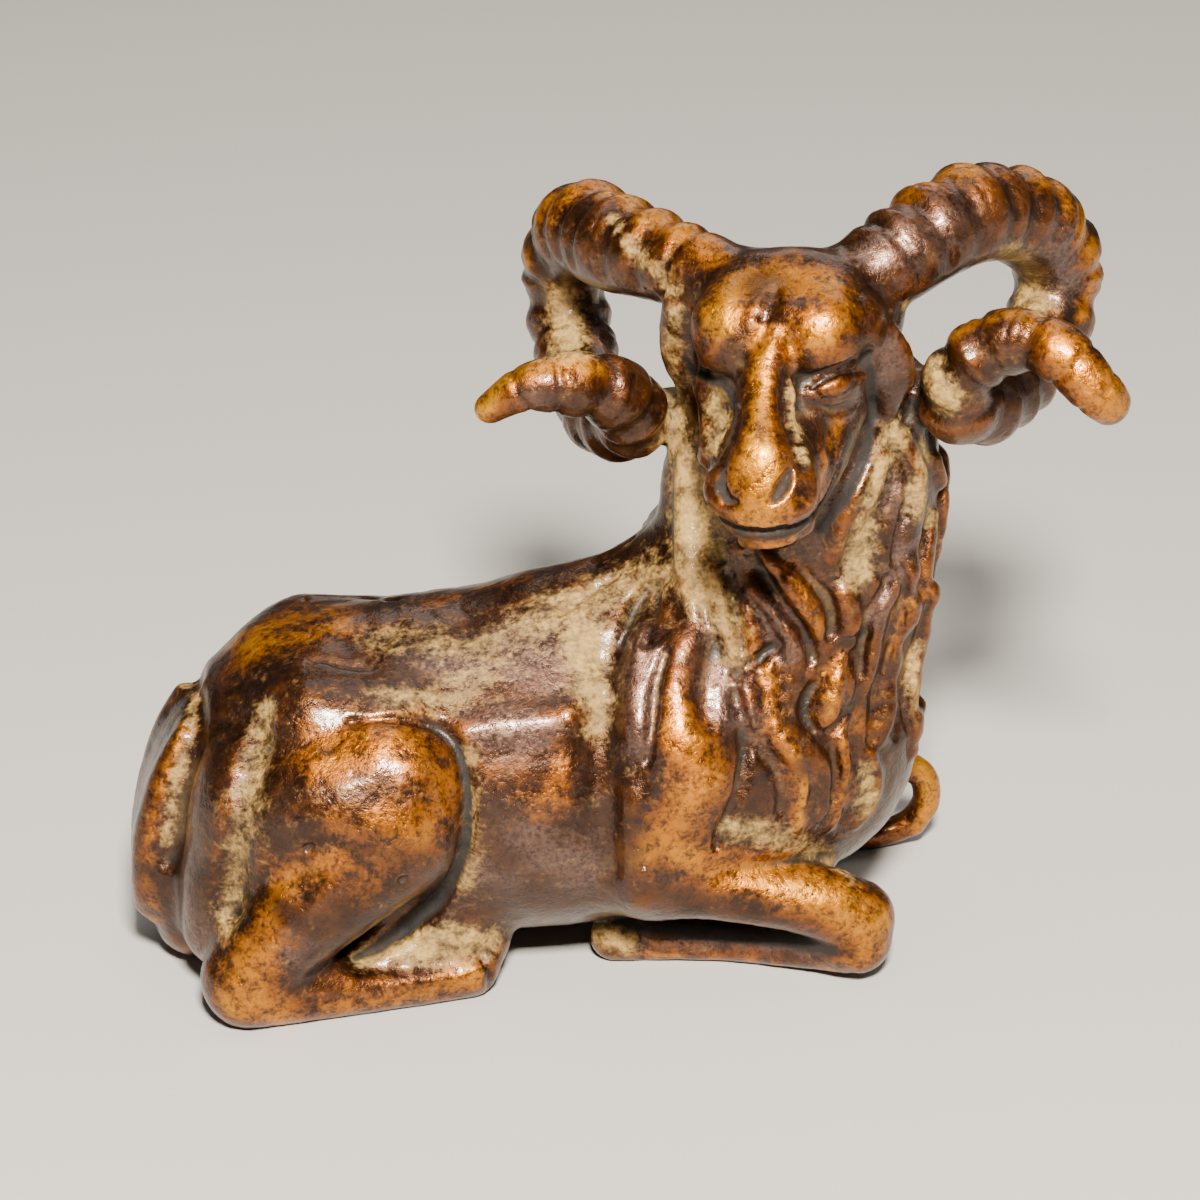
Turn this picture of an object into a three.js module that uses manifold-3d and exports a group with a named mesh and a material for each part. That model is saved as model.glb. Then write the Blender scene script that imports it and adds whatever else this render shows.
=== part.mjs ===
// A recumbent goat, cast in bronze as one piece, at real size in millimetres.
// +Z is up and the goat's body points along +X. Its right side, here called near, is towards -Y, and its
// head is turned back over that side. The origin is on the ground, under the middle of its bounding box.
//
// The form is a field: the signed distance to a set of tapered limbs that run smoothly into each other.
// Locks, creases and features of the face are drawn on a plane, as seen from one point, and laid on the
// form. The field is turned into a closed surface with marching tetrahedra, thinned where the form is
// plain, and cut flat where the figure rests.

import * as THREE from "three";
import Module from "manifold-3d";

// Driving dimensions, in millimetres
const LOW = [-50, -34, -5]; // lowest corner of the sampled block
const HIGH = [58, 30, 86]; // its highest corner
const SAMPLE_STEP = 0.75; // spacing of the samples
const CLAMP = 6; // distances are only true this close to the surface
const TRIANGLES = 9600; // size of the thinned surface
const MANE_BACK = 6; // forward of this, and on all that is higher than the back, the surface is thinned less
const BACK_TOP = 42;
const CARE = 5; // how much more a shift of the surface counts there
const CENTRE = [1.7, -1.5]; // middle of the figure's bounding box, seen from above
const GROUND_SLAB = 20; // thickness of the block cut away below the ground

// The point from which the locks and creases are drawn, and the middle of the plane that they are drawn on
const SIGHT = new THREE.Vector3(0, 0, 36.6);
const SIGHT_DISTANCE = 460;
const SIGHT_TURN = THREE.MathUtils.degToRad(-6);
const SIGHT_RISE = THREE.MathUtils.degToRad(24);
const LAY_STEP = 0.4; // step of the search for the surface along a line of sight
const LAY_JUMP = 4; // a longer jump between two laid points ends a run
const NECK = [18.5, 0]; // the neck's upright axis, seen from above

// The head's own frame: x runs forward along the nose, y to the goat's left and z up through the crown
const HEAD_ORIGIN = [17.3, -9, 68];
const HEAD_TURN = THREE.MathUtils.degToRad(-107);
const HEAD_DIP = THREE.MathUtils.degToRad(26);
const HEAD_ROLL = THREE.MathUtils.degToRad(3);

const RING_PITCH = 3.9; // distance between two rings of a horn
const RING_START = 4.5; // where the first groove lies, from the root
const RING_END = 82; // rings fade out this far from the root
const RING_RISE = 9; // grooves deepen over this distance from the root
const RING_FADE = 16; // and grow shallow over this distance before the end
const GROOVE = 1.15; // radius of the grooves between the rings
const GROOVE_REACH = 2.3; // how far round the horn a groove goes on either side of its crest, in radians

// A route is a list of stations whose last number is a radius. A curve goes through them.
function smooth(stations, pieces) {
  const last = stations.length - 1;
  const route = [];
  for (let i = 0; i < last; i++) {
    const before = stations[Math.max(i - 1, 0)];
    const after = stations[Math.min(i + 2, last)];
    for (let k = 0; k < pieces; k++) {
      const t = k / pieces;
      route.push(stations[i].map((b, c) => {
        const [a, d, e] = [before[c], stations[i + 1][c], after[c]];
        return b + 0.5 * t * (d - a + t * (2 * a - 5 * b + 4 * d - e + t * (3 * (b - d) + e - a)));
      }));
    }
  }
  route.push(stations[last]);
  return route;
}

// The station at a distance along a route
function stationAt(route, distance) {
  let left = distance;
  for (let i = 1; i < route.length; i++) {
    const [before, here] = [route[i - 1], route[i]];
    const step = Math.hypot(here[0] - before[0], here[1] - before[1], here[2] - before[2]);
    if (left <= step) return here.map((n, c) => before[c] + (left / step) * (n - before[c]));
    left -= step;
  }
  return route.at(-1);
}

class Field {
  constructor() {
    this.size = LOW.map((low, c) => Math.ceil((HIGH[c] - low) / SAMPLE_STEP) + 1);
    this.strides = [1, this.size[0], this.size[0] * this.size[1]];
    this.value = new Float64Array(this.size[0] * this.size[1] * this.size[2]).fill(CLAMP);
  }

  place(index) {
    const [nx, ny] = this.size;
    const cell = [index % nx, Math.floor(index / nx) % ny, Math.floor(index / (nx * ny))];
    return cell.map((n, c) => LOW[c] + n * SAMPLE_STEP);
  }

  // The field's value at any point, between its samples
  at(point) {
    let base = 0;
    const part = [0, 0, 0];
    for (let c = 0; c < 3; c++) {
      const n = (point[c] - LOW[c]) / SAMPLE_STEP;
      if (n < 0 || n >= this.size[c] - 1) return CLAMP;
      const whole = Math.floor(n);
      part[c] = n - whole;
      base += whole * this.strides[c];
    }
    let sum = 0;
    for (let corner = 0; corner < 8; corner++) {
      let weight = 1;
      let index = base;
      for (let c = 0; c < 3; c++) {
        const upper = (corner >> c) & 1;
        weight *= upper ? part[c] : 1 - part[c];
        index += upper * this.strides[c];
      }
      sum += weight * this.value[index];
    }
    return sum;
  }

  // Joins a limb to the form, or cuts it away. blend is the width over which the two run into each other.
  // A flat limb is stretched along one axis by the factor given.
  limb(route, blend, { cut = false, axis = [0, 0, 1], factor = 1 } = {}) {
    const long = Math.hypot(...axis);
    const along = axis.map((c) => c / long);
    const squeeze = (p) => {
      const shift = (1 / factor - 1) * (p[0] * along[0] + p[1] * along[1] + p[2] * along[2]);
      return [p[0] + shift * along[0], p[1] + shift * along[1], p[2] + shift * along[2]];
    };
    const knots = route.map((p) => [...squeeze(p), p[3]]);
    if (knots.length === 1) knots.push(knots[0]);
    const thickest = Math.max(...route.map((p) => p[3])) * Math.max(1, factor) + CLAMP + blend;
    const range = [0, 1, 2].map((c) => {
      const low = Math.min(...route.map((p) => p[c])) - thickest;
      const high = Math.max(...route.map((p) => p[c])) + thickest;
      const from = Math.max(0, Math.floor((low - LOW[c]) / SAMPLE_STEP));
      const to = Math.min(this.size[c] - 1, Math.ceil((high - LOW[c]) / SAMPLE_STEP));
      return [from, to];
    });
    const side = cut ? -1 : 1;
    for (let k = range[2][0]; k <= range[2][1]; k++) {
      for (let j = range[1][0]; j <= range[1][1]; j++) {
        for (let i = range[0][0]; i <= range[0][1]; i++) {
          const index = i + j * this.strides[1] + k * this.strides[2];
          const point = squeeze([i, j, k].map((cell, c) => LOW[c] + cell * SAMPLE_STEP));
          const away = Math.min(distanceToLimb(point, knots) * Math.min(1, factor), CLAMP);
          const old = side * this.value[index];
          const overlap = Math.max(blend - Math.abs(old - away), 0);
          this.value[index] = side * (Math.min(old, away) - (overlap * overlap) / (4 * blend));
        }
      }
    }
  }
}

function distanceToLimb(point, knots) {
  let nearest = Infinity;
  for (let s = 1; s < knots.length; s++) {
    const [from, to] = [knots[s - 1], knots[s]];
    const run = [to[0] - from[0], to[1] - from[1], to[2] - from[2]];
    const reach = [point[0] - from[0], point[1] - from[1], point[2] - from[2]];
    const square = run[0] * run[0] + run[1] * run[1] + run[2] * run[2];
    const dot = reach[0] * run[0] + reach[1] * run[1] + reach[2] * run[2];
    const t = square > 0 ? Math.min(Math.max(dot / square, 0), 1) : 0;
    const away = Math.sqrt(
      (reach[0] - t * run[0]) ** 2 + (reach[1] - t * run[1]) ** 2 + (reach[2] - t * run[2]) ** 2
    );
    nearest = Math.min(nearest, away - from[3] - t * (to[3] - from[3]));
  }
  return nearest;
}

// The head's frame as a matrix, with the nose dipped and the crown rolled a little
function headFrame() {
  const forward = new THREE.Vector3(
    Math.cos(HEAD_DIP) * Math.cos(HEAD_TURN),
    Math.cos(HEAD_DIP) * Math.sin(HEAD_TURN),
    -Math.sin(HEAD_DIP)
  );
  const left = new THREE.Vector3(-Math.sin(HEAD_TURN), Math.cos(HEAD_TURN), 0);
  left.applyAxisAngle(forward, HEAD_ROLL);
  const up = new THREE.Vector3().crossVectors(forward, left);
  return new THREE.Matrix4().makeBasis(forward, left, up).setPosition(...HEAD_ORIGIN);
}

const HEAD = headFrame();

function inHead(stations) {
  return stations.map(([x, y, z, radius]) => {
    return [...new THREE.Vector3(x, y, z).applyMatrix4(HEAD).toArray(), radius];
  });
}

function headAxis(x, y, z) {
  return new THREE.Vector3(x, y, z).transformDirection(HEAD).toArray();
}

// The same stations on the goat's other side
function mirrored(stations, side) {
  return stations.map(([x, y, ...rest]) => [x, side * y, ...rest]);
}

// Lays a drawn route on the form. Its stations are [across, up, radius] on the plane through SIGHT, and
// sink sets the limb's middle below the surface, as a share of its radius. The drawing can be mirrored to
// the far side, or turned round the upright axis of the neck. Where the line of sight jumps from one part
// of the form to another, only the longest run is kept.
function laid(field, stations, sink, { side = 1, turn = 0 } = {}) {
  const [cos, sin] = [Math.cos(turn), Math.sin(turn)];
  const moved = ({ x, y, z }) => {
    const [dx, dy] = [x - NECK[0], y - NECK[1]];
    return [NECK[0] + dx * cos - dy * sin, side * (NECK[1] + dx * sin + dy * cos), z];
  };
  const back = new THREE.Vector3(
    Math.sin(SIGHT_TURN) * Math.cos(SIGHT_RISE),
    -Math.cos(SIGHT_TURN) * Math.cos(SIGHT_RISE),
    Math.sin(SIGHT_RISE)
  );
  const right = new THREE.Vector3(Math.cos(SIGHT_TURN), Math.sin(SIGHT_TURN), 0);
  const up = new THREE.Vector3().crossVectors(back, right);
  const eye = SIGHT.clone().addScaledVector(back, SIGHT_DISTANCE);
  const runs = [[]];
  for (const [across, height, radius] of smooth(stations, 5)) {
    const aim = SIGHT.clone().addScaledVector(right, across).addScaledVector(up, height).sub(eye).normalize();
    const point = eye.clone().addScaledVector(aim, SIGHT_DISTANCE - 60);
    for (let step = 0; step < 300; step++) {
      if (field.at(moved(point)) < 0) {
        point.addScaledVector(aim, sink * radius);
        const station = [...moved(point), radius];
        const before = runs.at(-1).at(-1);
        const jumps = before && Math.hypot(...[0, 1, 2].map((c) => station[c] - before[c])) > LAY_JUMP;
        if (jumps) runs.push([]);
        runs.at(-1).push(station);
        break;
      }
      point.addScaledVector(aim, LAY_STEP);
    }
  }
  return runs.sort((one, other) => other.length - one.length)[0];
}

function trunk(field) {
  field.limb(smooth([[-25, 0, 20.5, 15.5], [-8, 0, 19.9, 17.6], [8, 0, 21, 16.5]], 6), 4);
  field.limb(smooth([[-4, 0, 32, 7], [6, 0, 35, 7.5], [14, 0, 38, 9]], 6), 5);
  field.limb(smooth([[12, 0, 20, 15.5], [18.5, 0, 20, 13.5]], 6), 5);
  for (const side of [-1, 1]) {
    field.limb(mirrored([[-29, 8, 28, 6.5], [-22, 9.5, 27, 6]], side), 2.5);
  }
}

function neck(field) {
  const stations = [[17, 0, 30, 15], [20, -1, 42, 13.2], [20.5, -1, 54, 12.6], [19, -2, 64, 8]];
  field.limb(smooth(stations, 6), 5, { axis: [0, 1, 0], factor: 0.85 });
  const strand = [[9.8, -1.5, 58, 1.8], [8.7, -1, 53, 2.2], [8.8, -1, 46, 2.6], [9.6, -1, 38, 3]];
  field.limb(smooth(strand, 6), 2.5);
}

function tail(field) {
  const stations = [[-33, 0, 28.5, 4.2], [-39.6, -0.4, 21, 5], [-42.4, -1, 12, 5.2], [-41.2, -1, 4.8, 4.7]];
  const rump = [[-32, 5, 27, 5.8], [-36, 5, 23, 6.1], [-38, 3.5, 18, 6]];
  field.limb(smooth(rump, 6), 3);
  field.limb(smooth(stations, 6), 4, { axis: [0, 1, 0], factor: 1.3 });
}

function hindLeg(field, side) {
  const thigh = [[-32, 8.5, 19.5, 9.5], [-27, 11.5, 21.5, 8.8], [-22.5, 13, 21.5, 7.6]];
  const shank = [[-22.5, 14, 19, 7], [-30, 15.5, 12.5, 5.6], [-37, 16, 4.6, 4.4]];
  const foot = [[-36.5, 16.5, 3.8, 4.2], [-27, 15, 2.8, 3.3], [-15, 12.5, 3.1, 3.6]];
  field.limb(smooth(mirrored(thigh, side), 6), 1.2);
  field.limb(smooth(mirrored(shank, side), 6), 1.5);
  field.limb(smooth(mirrored(foot, side), 6), 1);
  const ham = [[-33.5, 8, 21, 7], [-36.6, 9.4, 13, 6.1], [-38.2, 9.4, 7.4, 4.8]];
  const webs = [
    [[-22, 9, 7.5, 4.4], [-16, 10, 8, 4.6], [-12.6, 9, 9, 3.6]],
    [[-24, 12, 4.6, 2.8], [-18, 11, 4.8, 3.4], [-13.4, 10.4, 4.8, 3.2]],
  ];
  field.limb(smooth(mirrored(ham, side), 6), 2);
  field.limb(smooth(mirrored(webs[0], side), 6), 2);
  field.limb(smooth(mirrored(webs[1], side), 6), 1.5);
}

function nearForeleg(field) {
  const shoulder = [[6, -8, 32, 6], [6.5, -10.5, 26, 7.5], [5, -11, 18, 7], [4, -12, 13, 5.5]];
  const forearm = [[4, -13, 12.5, 4.6], [12, -14, 10.8, 3.4], [20, -14, 9, 3.7], [24.5, -13.5, 6.6, 3.9]];
  const cannon = [[24.3, -13.4, 4.4, 3.9], [19.5, -11.2, 2.6, 2.5], [11, -8.2, 2, 2.2], [0.8, -6.8, 2.2, 2.5]];
  field.limb(smooth(shoulder, 6), 3);
  field.limb(smooth(forearm, 6), 1);
  field.limb(smooth(cannon, 6), 0.5);
  field.limb(smooth([[10, -9.5, 13, 4], [16, -10, 11.5, 3.2], [21, -9, 11, 1.8]], 6), 1.5);
}

function farForeleg(field) {
  const shoulder = [[6, 7, 30, 6], [6.5, 10.5, 26, 7.5], [5, 11, 18, 7], [6, 12, 13, 5.5]];
  const forearm = [
    [6, 12, 12.5, 4.6], [16, 14, 12, 4], [25, 14.5, 11.4, 3.3], [30.5, 14.5, 10.8, 2.2], [33.6, 14.5, 9.9, 1.6],
  ];
  const knee = [[33.6, 14.5, 9.9, 1.6], [36, 14.5, 8, 1.5], [36.4, 14.5, 5.2, 1.5], [35, 14.5, 2.7, 1.5]];
  const cannon = [
    [35, 14.5, 2.7, 1.5], [31, 14.5, 1.4, 1.5], [24, 14.4, 1.7, 2.2], [14, 13.6, 2.1, 2.5], [6, 12.2, 2.5, 2.9],
  ];
  field.limb(smooth(shoulder, 6), 3);
  field.limb(smooth(forearm, 6), 1);
  field.limb(smooth(knee, 6), 0.3);
  field.limb(smooth(cannon, 6), 0.3);
}

function skull(field) {
  field.limb(inHead([[-3.2, -3.6, -0.9, 6.2], [-3.2, 4.4, -0.7, 6.2]]), 3);
  field.limb(inHead([[2.5, -1.6, 0.2, 6.8], [2.5, 1.8, 0.2, 6.8]]), 3);
  field.limb(inHead([[12, 0, -3, 4], [17.8, 0, -2.7, 5.2]]), 2.5);
  for (const [side, wide] of [[-1, 4.6], [1, 3.5]]) {
    const cheek = [[1, wide, -5, 4.4], [9, 0.78 * wide, -6.5, 3.9], [16, 0.4 * wide, -7, 3]];
    field.limb(inHead(mirrored(smooth(cheek, 4), side)), 2);
  }
  field.limb(inHead([[-1.5, 0, 3.6, 4.4], [3.4, 0, 4.4, 3.8]]), 2);
  field.limb(inHead([[-1.5, -3.4, 2.6, 4.4], [3.6, -4.6, 4.2, 3.9]]), 1.8);
  field.limb(inHead([[-1.5, 3.2, 2.8, 4.4], [3.8, 4, 4.4, 3.9], [1.6, 6.8, 3.2, 2.6]]), 1.8);
  field.limb(inHead(smooth([[4, -0.6, 5.1, 3.1], [11.5, -0.4, 2, 2.8], [17.2, 0, 0.4, 3.5]], 6)), 0.8);
  field.limb(inHead([[12, -0.4, -8.2, 2.8], [17, -0.6, -7.9, 2.8]]), 1.4);
}

// The right ear stands further out than the left one
const EARS = {
  "-1": [[-1.5, 11, 1, 1.8], [-1, 11.2, -5, 2.4], [-0.5, 10.4, -11.5, 1.6]],
  "1": [[0.5, 9.2, 0.2, 1.6], [1, 9.8, -4, 2.3], [1.5, 8.9, -9.2, 1]],
};

function ear(field, side) {
  const route = inHead(mirrored(smooth(EARS[side], 5), side));
  field.limb(route, 0.6, { axis: headAxis(1, 0.4 * side, 0.3), factor: 0.6 });
}

// Cuts grooves over a horn's outer side, a ring's pitch apart, no two quite alike
function grooved(field, route) {
  const heart = new THREE.Vector3();
  for (const [x, y, z] of route) heart.add(new THREE.Vector3(x, y, z));
  heart.divideScalar(route.length);
  for (let ring = 0; RING_START + ring * RING_PITCH < RING_END; ring++) {
    const stop = RING_START + ring * RING_PITCH + 0.5 * Math.sin(4.6 * ring);
    const fade = Math.min((RING_END - stop) / RING_FADE, 1, stop / RING_RISE);
    const size = GROOVE * fade * (1 + 0.25 * Math.sin(3.4 * ring));
    const [x, y, z, radius] = stationAt(route, stop);
    const middle = new THREE.Vector3(x, y, z);
    const along = new THREE.Vector3(...stationAt(route, stop + 0.5)).sub(middle).normalize();
    const outer = middle.clone().sub(heart).projectOnPlane(along).normalize();
    const aside = new THREE.Vector3().crossVectors(along, outer);
    const arc = [];
    for (let turn = -GROOVE_REACH; turn <= GROOVE_REACH; turn += GROOVE_REACH / 6) {
      const depth = size * (0.62 + 0.38 * Math.cos(1.3 * turn));
      const away = radius + 0.35 * depth;
      const point = middle.clone().addScaledVector(outer, away * Math.cos(turn));
      arc.push([...point.addScaledVector(aside, away * Math.sin(turn)).toArray(), depth]);
    }
    field.limb(arc, 1.3 * size, { cut: true });
  }
}

function horns(field) {
  const right = [
    [-4, -6.5, 2, 4], [-8, -13, 1.2, 4.4], [-12.5, -19, -1.2, 4.9], [-18, -24, -5, 4.8],
    [-19.5, -27, -11, 4.5], [-16.5, -27, -16.5, 4.3], [-10, -24.5, -18, 4.1], [-2, -20.5, -15.5, 3.9],
    [2.5, -16.5, -10.5, 3.8], [4.5, -17, -5, 3.6], [6.5, -20.5, -1.5, 3], [8.2, -24.5, -0.5, 2.1],
    [9.5, -28, -2, 1.4],
  ];
  const left = [
    [-4.5, 5.8, 1.6, 4.1], [-8.5, 9.5, 2.2, 4.6], [-14.5, 14, 1.2, 4.9], [-19, 18, -2, 4.8],
    [-21.6, 21.2, -7, 4.7], [-22, 22.4, -12.5, 4.7], [-18.5, 22, -16, 4.5], [-11.5, 20, -16.5, 4.2],
    [-5, 17.5, -14.5, 4], [-1, 15.5, -10.5, 3.8], [-1.5, 16.5, -6, 3.6], [-2.5, 20.8, -3.2, 3.2],
    [-1, 25.7, -3, 2.8], [1, 29, -5.5, 2.4], [1, 30.3, -7.5, 2],
  ];
  for (const horn of [right, left]) {
    const route = inHead(smooth(horn, 12));
    field.limb(route, 1);
    grooved(field, route);
  }
  field.limb(inHead([[-1, -16.5, -14, 2.6], [-4, -9, -16, 3]]), 1.5);
  field.limb(inHead([[-2, 15, -11, 2.4], [-4, 9, -12, 3]]), 1.5);
}

// Lays a set of strokes on the form, each on one or both sides of the body
function drawn(field, strokes, sink, blend, { cut = false, sides = [1] } = {}) {
  for (const side of sides) {
    for (const stroke of strokes) {
      const route = laid(field, stroke, sink, { side });
      if (route.length > 0) field.limb(route, blend, { cut });
    }
  }
}

// The face: the valley between the brows, and then what is on the left of the sight and on its right
const BROW_VALLEY = [
  [[17.4, 31, 0.5], [16.8, 29, 0.9], [16, 27, 1], [14.8, 25.2, 0.9], [13.8, 23.4, 0.6]],
  [[18.4, 27, 0.4], [19, 25.4, 0.6], [19.4, 23.6, 0.6]],
];
const SOCKETS = [
  [[8.5, 24.6, 0.5], [9.5, 23, 0.8], [11.2, 22, 0.9], [12.8, 21.6, 0.8], [13.5, 20, 0.6]],
  [[19.4, 22.6, 0.6], [21, 21.6, 1.2], [23.4, 21.8, 1.6], [25.4, 22.8, 1.4], [26.8, 24.4, 1.1]],
];
const NOSE_HOLLOWS = [
  [[13.3, 22.4, 0.5], [13.5, 19, 0.6], [13.1, 16, 0.55], [12, 13.8, 0.4]],
  [[18.8, 22.4, 0.9], [19.2, 19, 1.3], [19.7, 16, 1.2], [20.5, 13.6, 0.8], [21, 12.4, 0.4]],
];
const CHEEK_RIDGES = [
  [[10.2, 21.4, 0.9], [11.3, 19.6, 1.5], [11.6, 17, 1.5], [10.8, 14.4, 1]],
  [[21.2, 21.4, 0.6], [21.1, 18.6, 1], [21.3, 16, 0.9], [22, 13.6, 0.6]],
];
const EYES = [
  [[9.8, 22.2, 0.4], [10.5, 22, 0.6], [11.2, 21.8, 0.4]],
  [[22, 21, 0.8], [23.2, 21.4, 1.5], [24.8, 22.1, 0.9]],
];
const NOSTRILS = [
  [[12.4, 12.6, 0.35], [12.2, 11.2, 0.55], [12.9, 10, 0.5], [13.7, 9.8, 0.3]],
  [[19, 13, 0.4], [18.4, 11.6, 0.75], [17.7, 10.4, 0.65], [17, 9.8, 0.3]],
];
const MOUTH = [
  [[12, 8.2, 0.3], [13.4, 7.4, 0.45], [15, 7, 0.6], [17.5, 7, 0.6], [20, 7.6, 0.5], [21.9, 9.2, 0.45],
    [23.2, 11.6, 0.35], [23.8, 13.4, 0.25]],
];

function face(field) {
  drawn(field, BROW_VALLEY, -0.5, 1, { cut: true });
  drawn(field, SOCKETS, -0.3, 0.6, { cut: true });
  drawn(field, CHEEK_RIDGES, 0.75, 1.2);
  drawn(field, NOSE_HOLLOWS, -0.45, 0.9, { cut: true });
  drawn(field, EYES, -0.1, 0.3);
  drawn(field, NOSTRILS, 0, 0.3, { cut: true });
  drawn(field, MOUTH, 0.2, 0.3, { cut: true });
}

// Wavy locks of the beard and the mane, each drawn from its root to its tip
const LOCKS = [
  [[8.6, 15, 0.8], [8.6, 12, 1.2], [8.8, 8, 1.4], [9, 4.6, 1.6], [9.2, 1.2, 1.5], [9.4, -1.6, 0.8]],
  [[11.2, 4, 1.2], [12.2, 0, 1.3], [13, -4, 1.2], [13.5, -6.6, 0.6]],
  [[28, 15, 0.9], [26.8, 12, 1.6], [25, 9, 1.8], [23.8, 6, 1.3], [23, 4, 0.6]],
  [[30.5, 13, 0.8], [29.4, 9, 1.2], [28.4, 5, 1.2], [27.4, 1.5, 1], [26.6, -1, 0.5]],
  [[15.6, 1.2, 1], [17.8, -1.2, 1.2], [19.2, -4, 1.3], [19.1, -7, 1.2], [18.6, -10, 1.1], [19, -13, 1],
    [20.4, -14.6, 1], [21.9, -16.2, 1], [22.6, -18.4, 0.9], [22.2, -20.6, 0.7], [21, -22.6, 0.4]],
  [[24.2, 1.2, 1], [24.9, -1.4, 1.5], [24.9, -3.4, 1.3], [23.6, -5, 0.7]],
  [[16.4, 4.4, 0.6], [18.2, 2.6, 1.3], [19.8, 0.6, 1.7], [21.1, -1.4, 1.6], [21.8, -3.2, 1.1],
    [21.7, -4.6, 0.5]],
  [[23.4, -4, 0.7], [22.6, -5.6, 0.9], [21.4, -7.4, 0.8], [20, -8.8, 0.4]],
  [[24.2, -6, 1], [23.7, -8, 1.8], [23, -10.2, 1.9], [22.3, -11.8, 1.3], [21.9, -12.8, 0.5]],
  [[31.6, 8.5, 0.7], [30.8, 5, 1], [29.5, 2, 1.1], [28, -0.4, 1.2], [27.4, -2.8, 1.1], [27, -5.4, 1],
    [26.6, -7.8, 0.8], [26.2, -9.2, 0.4]],
  [[34, 6.5, 0.6], [33.6, 3.4, 0.9], [32.4, 0.8, 0.9], [30.5, -0.8, 0.9], [29.6, -2.6, 0.9],
    [29.3, -4.6, 0.8], [28.5, -6.6, 0.4]],
  [[32.6, -7.8, 0.6], [31.8, -10.6, 0.9], [30.8, -13.4, 0.6]],
  [[29, -7.8, 0.6], [28.8, -10, 1], [28.5, -12, 0.9], [28, -14, 0.5]],
  [[15, -6.6, 1], [14.6, -9.4, 1.6], [14.6, -12, 1.5], [14.2, -13.2, 0.7]],
  [[14, 0, 0.8], [14.8, -2, 1.1], [15.2, -4, 1.1], [15, -5.6, 0.6]],
  [[17, -6, 0.7], [16.8, -9, 1.1], [17, -11.6, 1.3], [18.2, -13.8, 1.5], [19.7, -15.6, 1.5],
    [20.3, -17.4, 1.3], [20.2, -19.6, 1.1], [20, -21.6, 0.9], [19.7, -22.8, 0.5]],
  [[24.5, -12, 0.5], [24.1, -14.4, 0.9], [24.4, -16.6, 1], [24.6, -19, 1], [23.8, -21, 0.8],
    [22.8, -22.6, 0.5]],
  [[27, -15.5, 0.6], [27.4, -18, 0.9], [26.8, -20.5, 0.8], [25.6, -22.5, 0.4]],
  [[33.4, 14, 0.8], [34, 10.5, 1.2], [34.4, 7, 1], [34.2, 4, 0.5]],
];

const LONG_LOCKS = [
  [[21, 14, 1.2], [22.5, 9, 1.8], [20.5, 3, 1.8], [22, -3, 1.5], [20.5, -9, 0.9]],
  [[22, 4, 1], [20, -1, 1.7], [21.5, -7, 1.8], [19.5, -13, 1.5], [20.5, -19, 0.9]],
];

// The locks that show are laid as drawn. Plainer ones, each a long lock turned round the neck, follow on
// the chest, the far side and the nape.
function mane(field) {
  drawn(field, LOCKS, 0.12, 0.7);
  const first = THREE.MathUtils.degToRad(46);
  const step = THREE.MathUtils.degToRad(18);
  for (let i = 0; i < 12; i++) {
    const long = LONG_LOCKS[i % LONG_LOCKS.length];
    field.limb(laid(field, long, 0.2, { turn: first + i * step }), 0.8);
  }
}

// The body: swellings of the shoulder and the flank, the soft valleys between them, and sharper creases
const SWELLINGS = [
  [[3.8, -3.6, 0.8], [3.2, -6.5, 1.4], [3.2, -9.5, 1.5], [3.6, -12.5, 1]],
  [[9.6, -3.4, 0.7], [8.4, -5.2, 1.3], [7.7, -8.4, 1.5], [7.6, -12, 1.3]],
  [[8.4, -15, 3.4], [9.4, -18, 3.6]],
  [[3, -20, 2], [3.4, -25, 2.4], [4.5, -28, 2]],
  [[-13, -13.4, 0.4], [-10, -12.7, 0.8], [-5, -12.2, 0.9], [-1, -10.8, 0.7], [0, -8.6, 0.4]],
  [[-41, -13, 0.6], [-43.4, -18, 1.1], [-45, -24, 1.2], [-45.4, -30, 1]],
];
const VALLEYS = [
  [[4.6, 0.6, 0.8], [2.8, -2.2, 1.1], [1.2, -5, 1.4], [0.4, -9, 1.6], [0, -14, 1.7], [0.1, -20, 1.6],
    [0.6, -27, 1.1]],
  [[-33.8, -11, 0.9], [-34.6, -15, 1.3], [-35.8, -20, 1.5], [-36.6, -26, 1.3], [-37, -31, 0.9]],
  [[-40.4, -10, 0.5], [-41, -15, 0.8], [-42.2, -20, 0.8], [-43.2, -26, 0.6]],
  [[11.4, -5, 0.5], [10.6, -9, 0.8], [10.8, -12, 0.6]],
  [[-24.5, -36.4, 0.4], [-20, -36.7, 0.5], [-15, -36.1, 0.5], [-11, -34.8, 0.4]],
];
const CREASES = [
  [[6.8, 2.2, 0.5], [5, 1.2, 0.6], [3.8, -0.4, 0.6], [2.9, -2.2, 0.5]],
  [[13.6, -9.4, 0.6], [14.5, -15.5, 0.8], [14, -19, 0.9], [12.6, -22.4, 0.8], [11.7, -24.6, 0.5]],
  [[-25, -12.2, 0.4], [-19, -12, 0.6], [-14.4, -14.6, 0.7], [-13.3, -20, 0.8], [-14.1, -26.6, 0.9],
    [-19, -32.4, 1], [-24.4, -35.8, 0.6]],
];
const BOTH_SIDES = { sides: [1, -1] };

function carving(field) {
  drawn(field, SWELLINGS, 0.75, 2.6, BOTH_SIDES);
  drawn(field, VALLEYS, -0.5, 1.8, { cut: true, ...BOTH_SIDES });
  drawn(field, CREASES, 0, 0.8, { cut: true, ...BOTH_SIDES });
}

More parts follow.
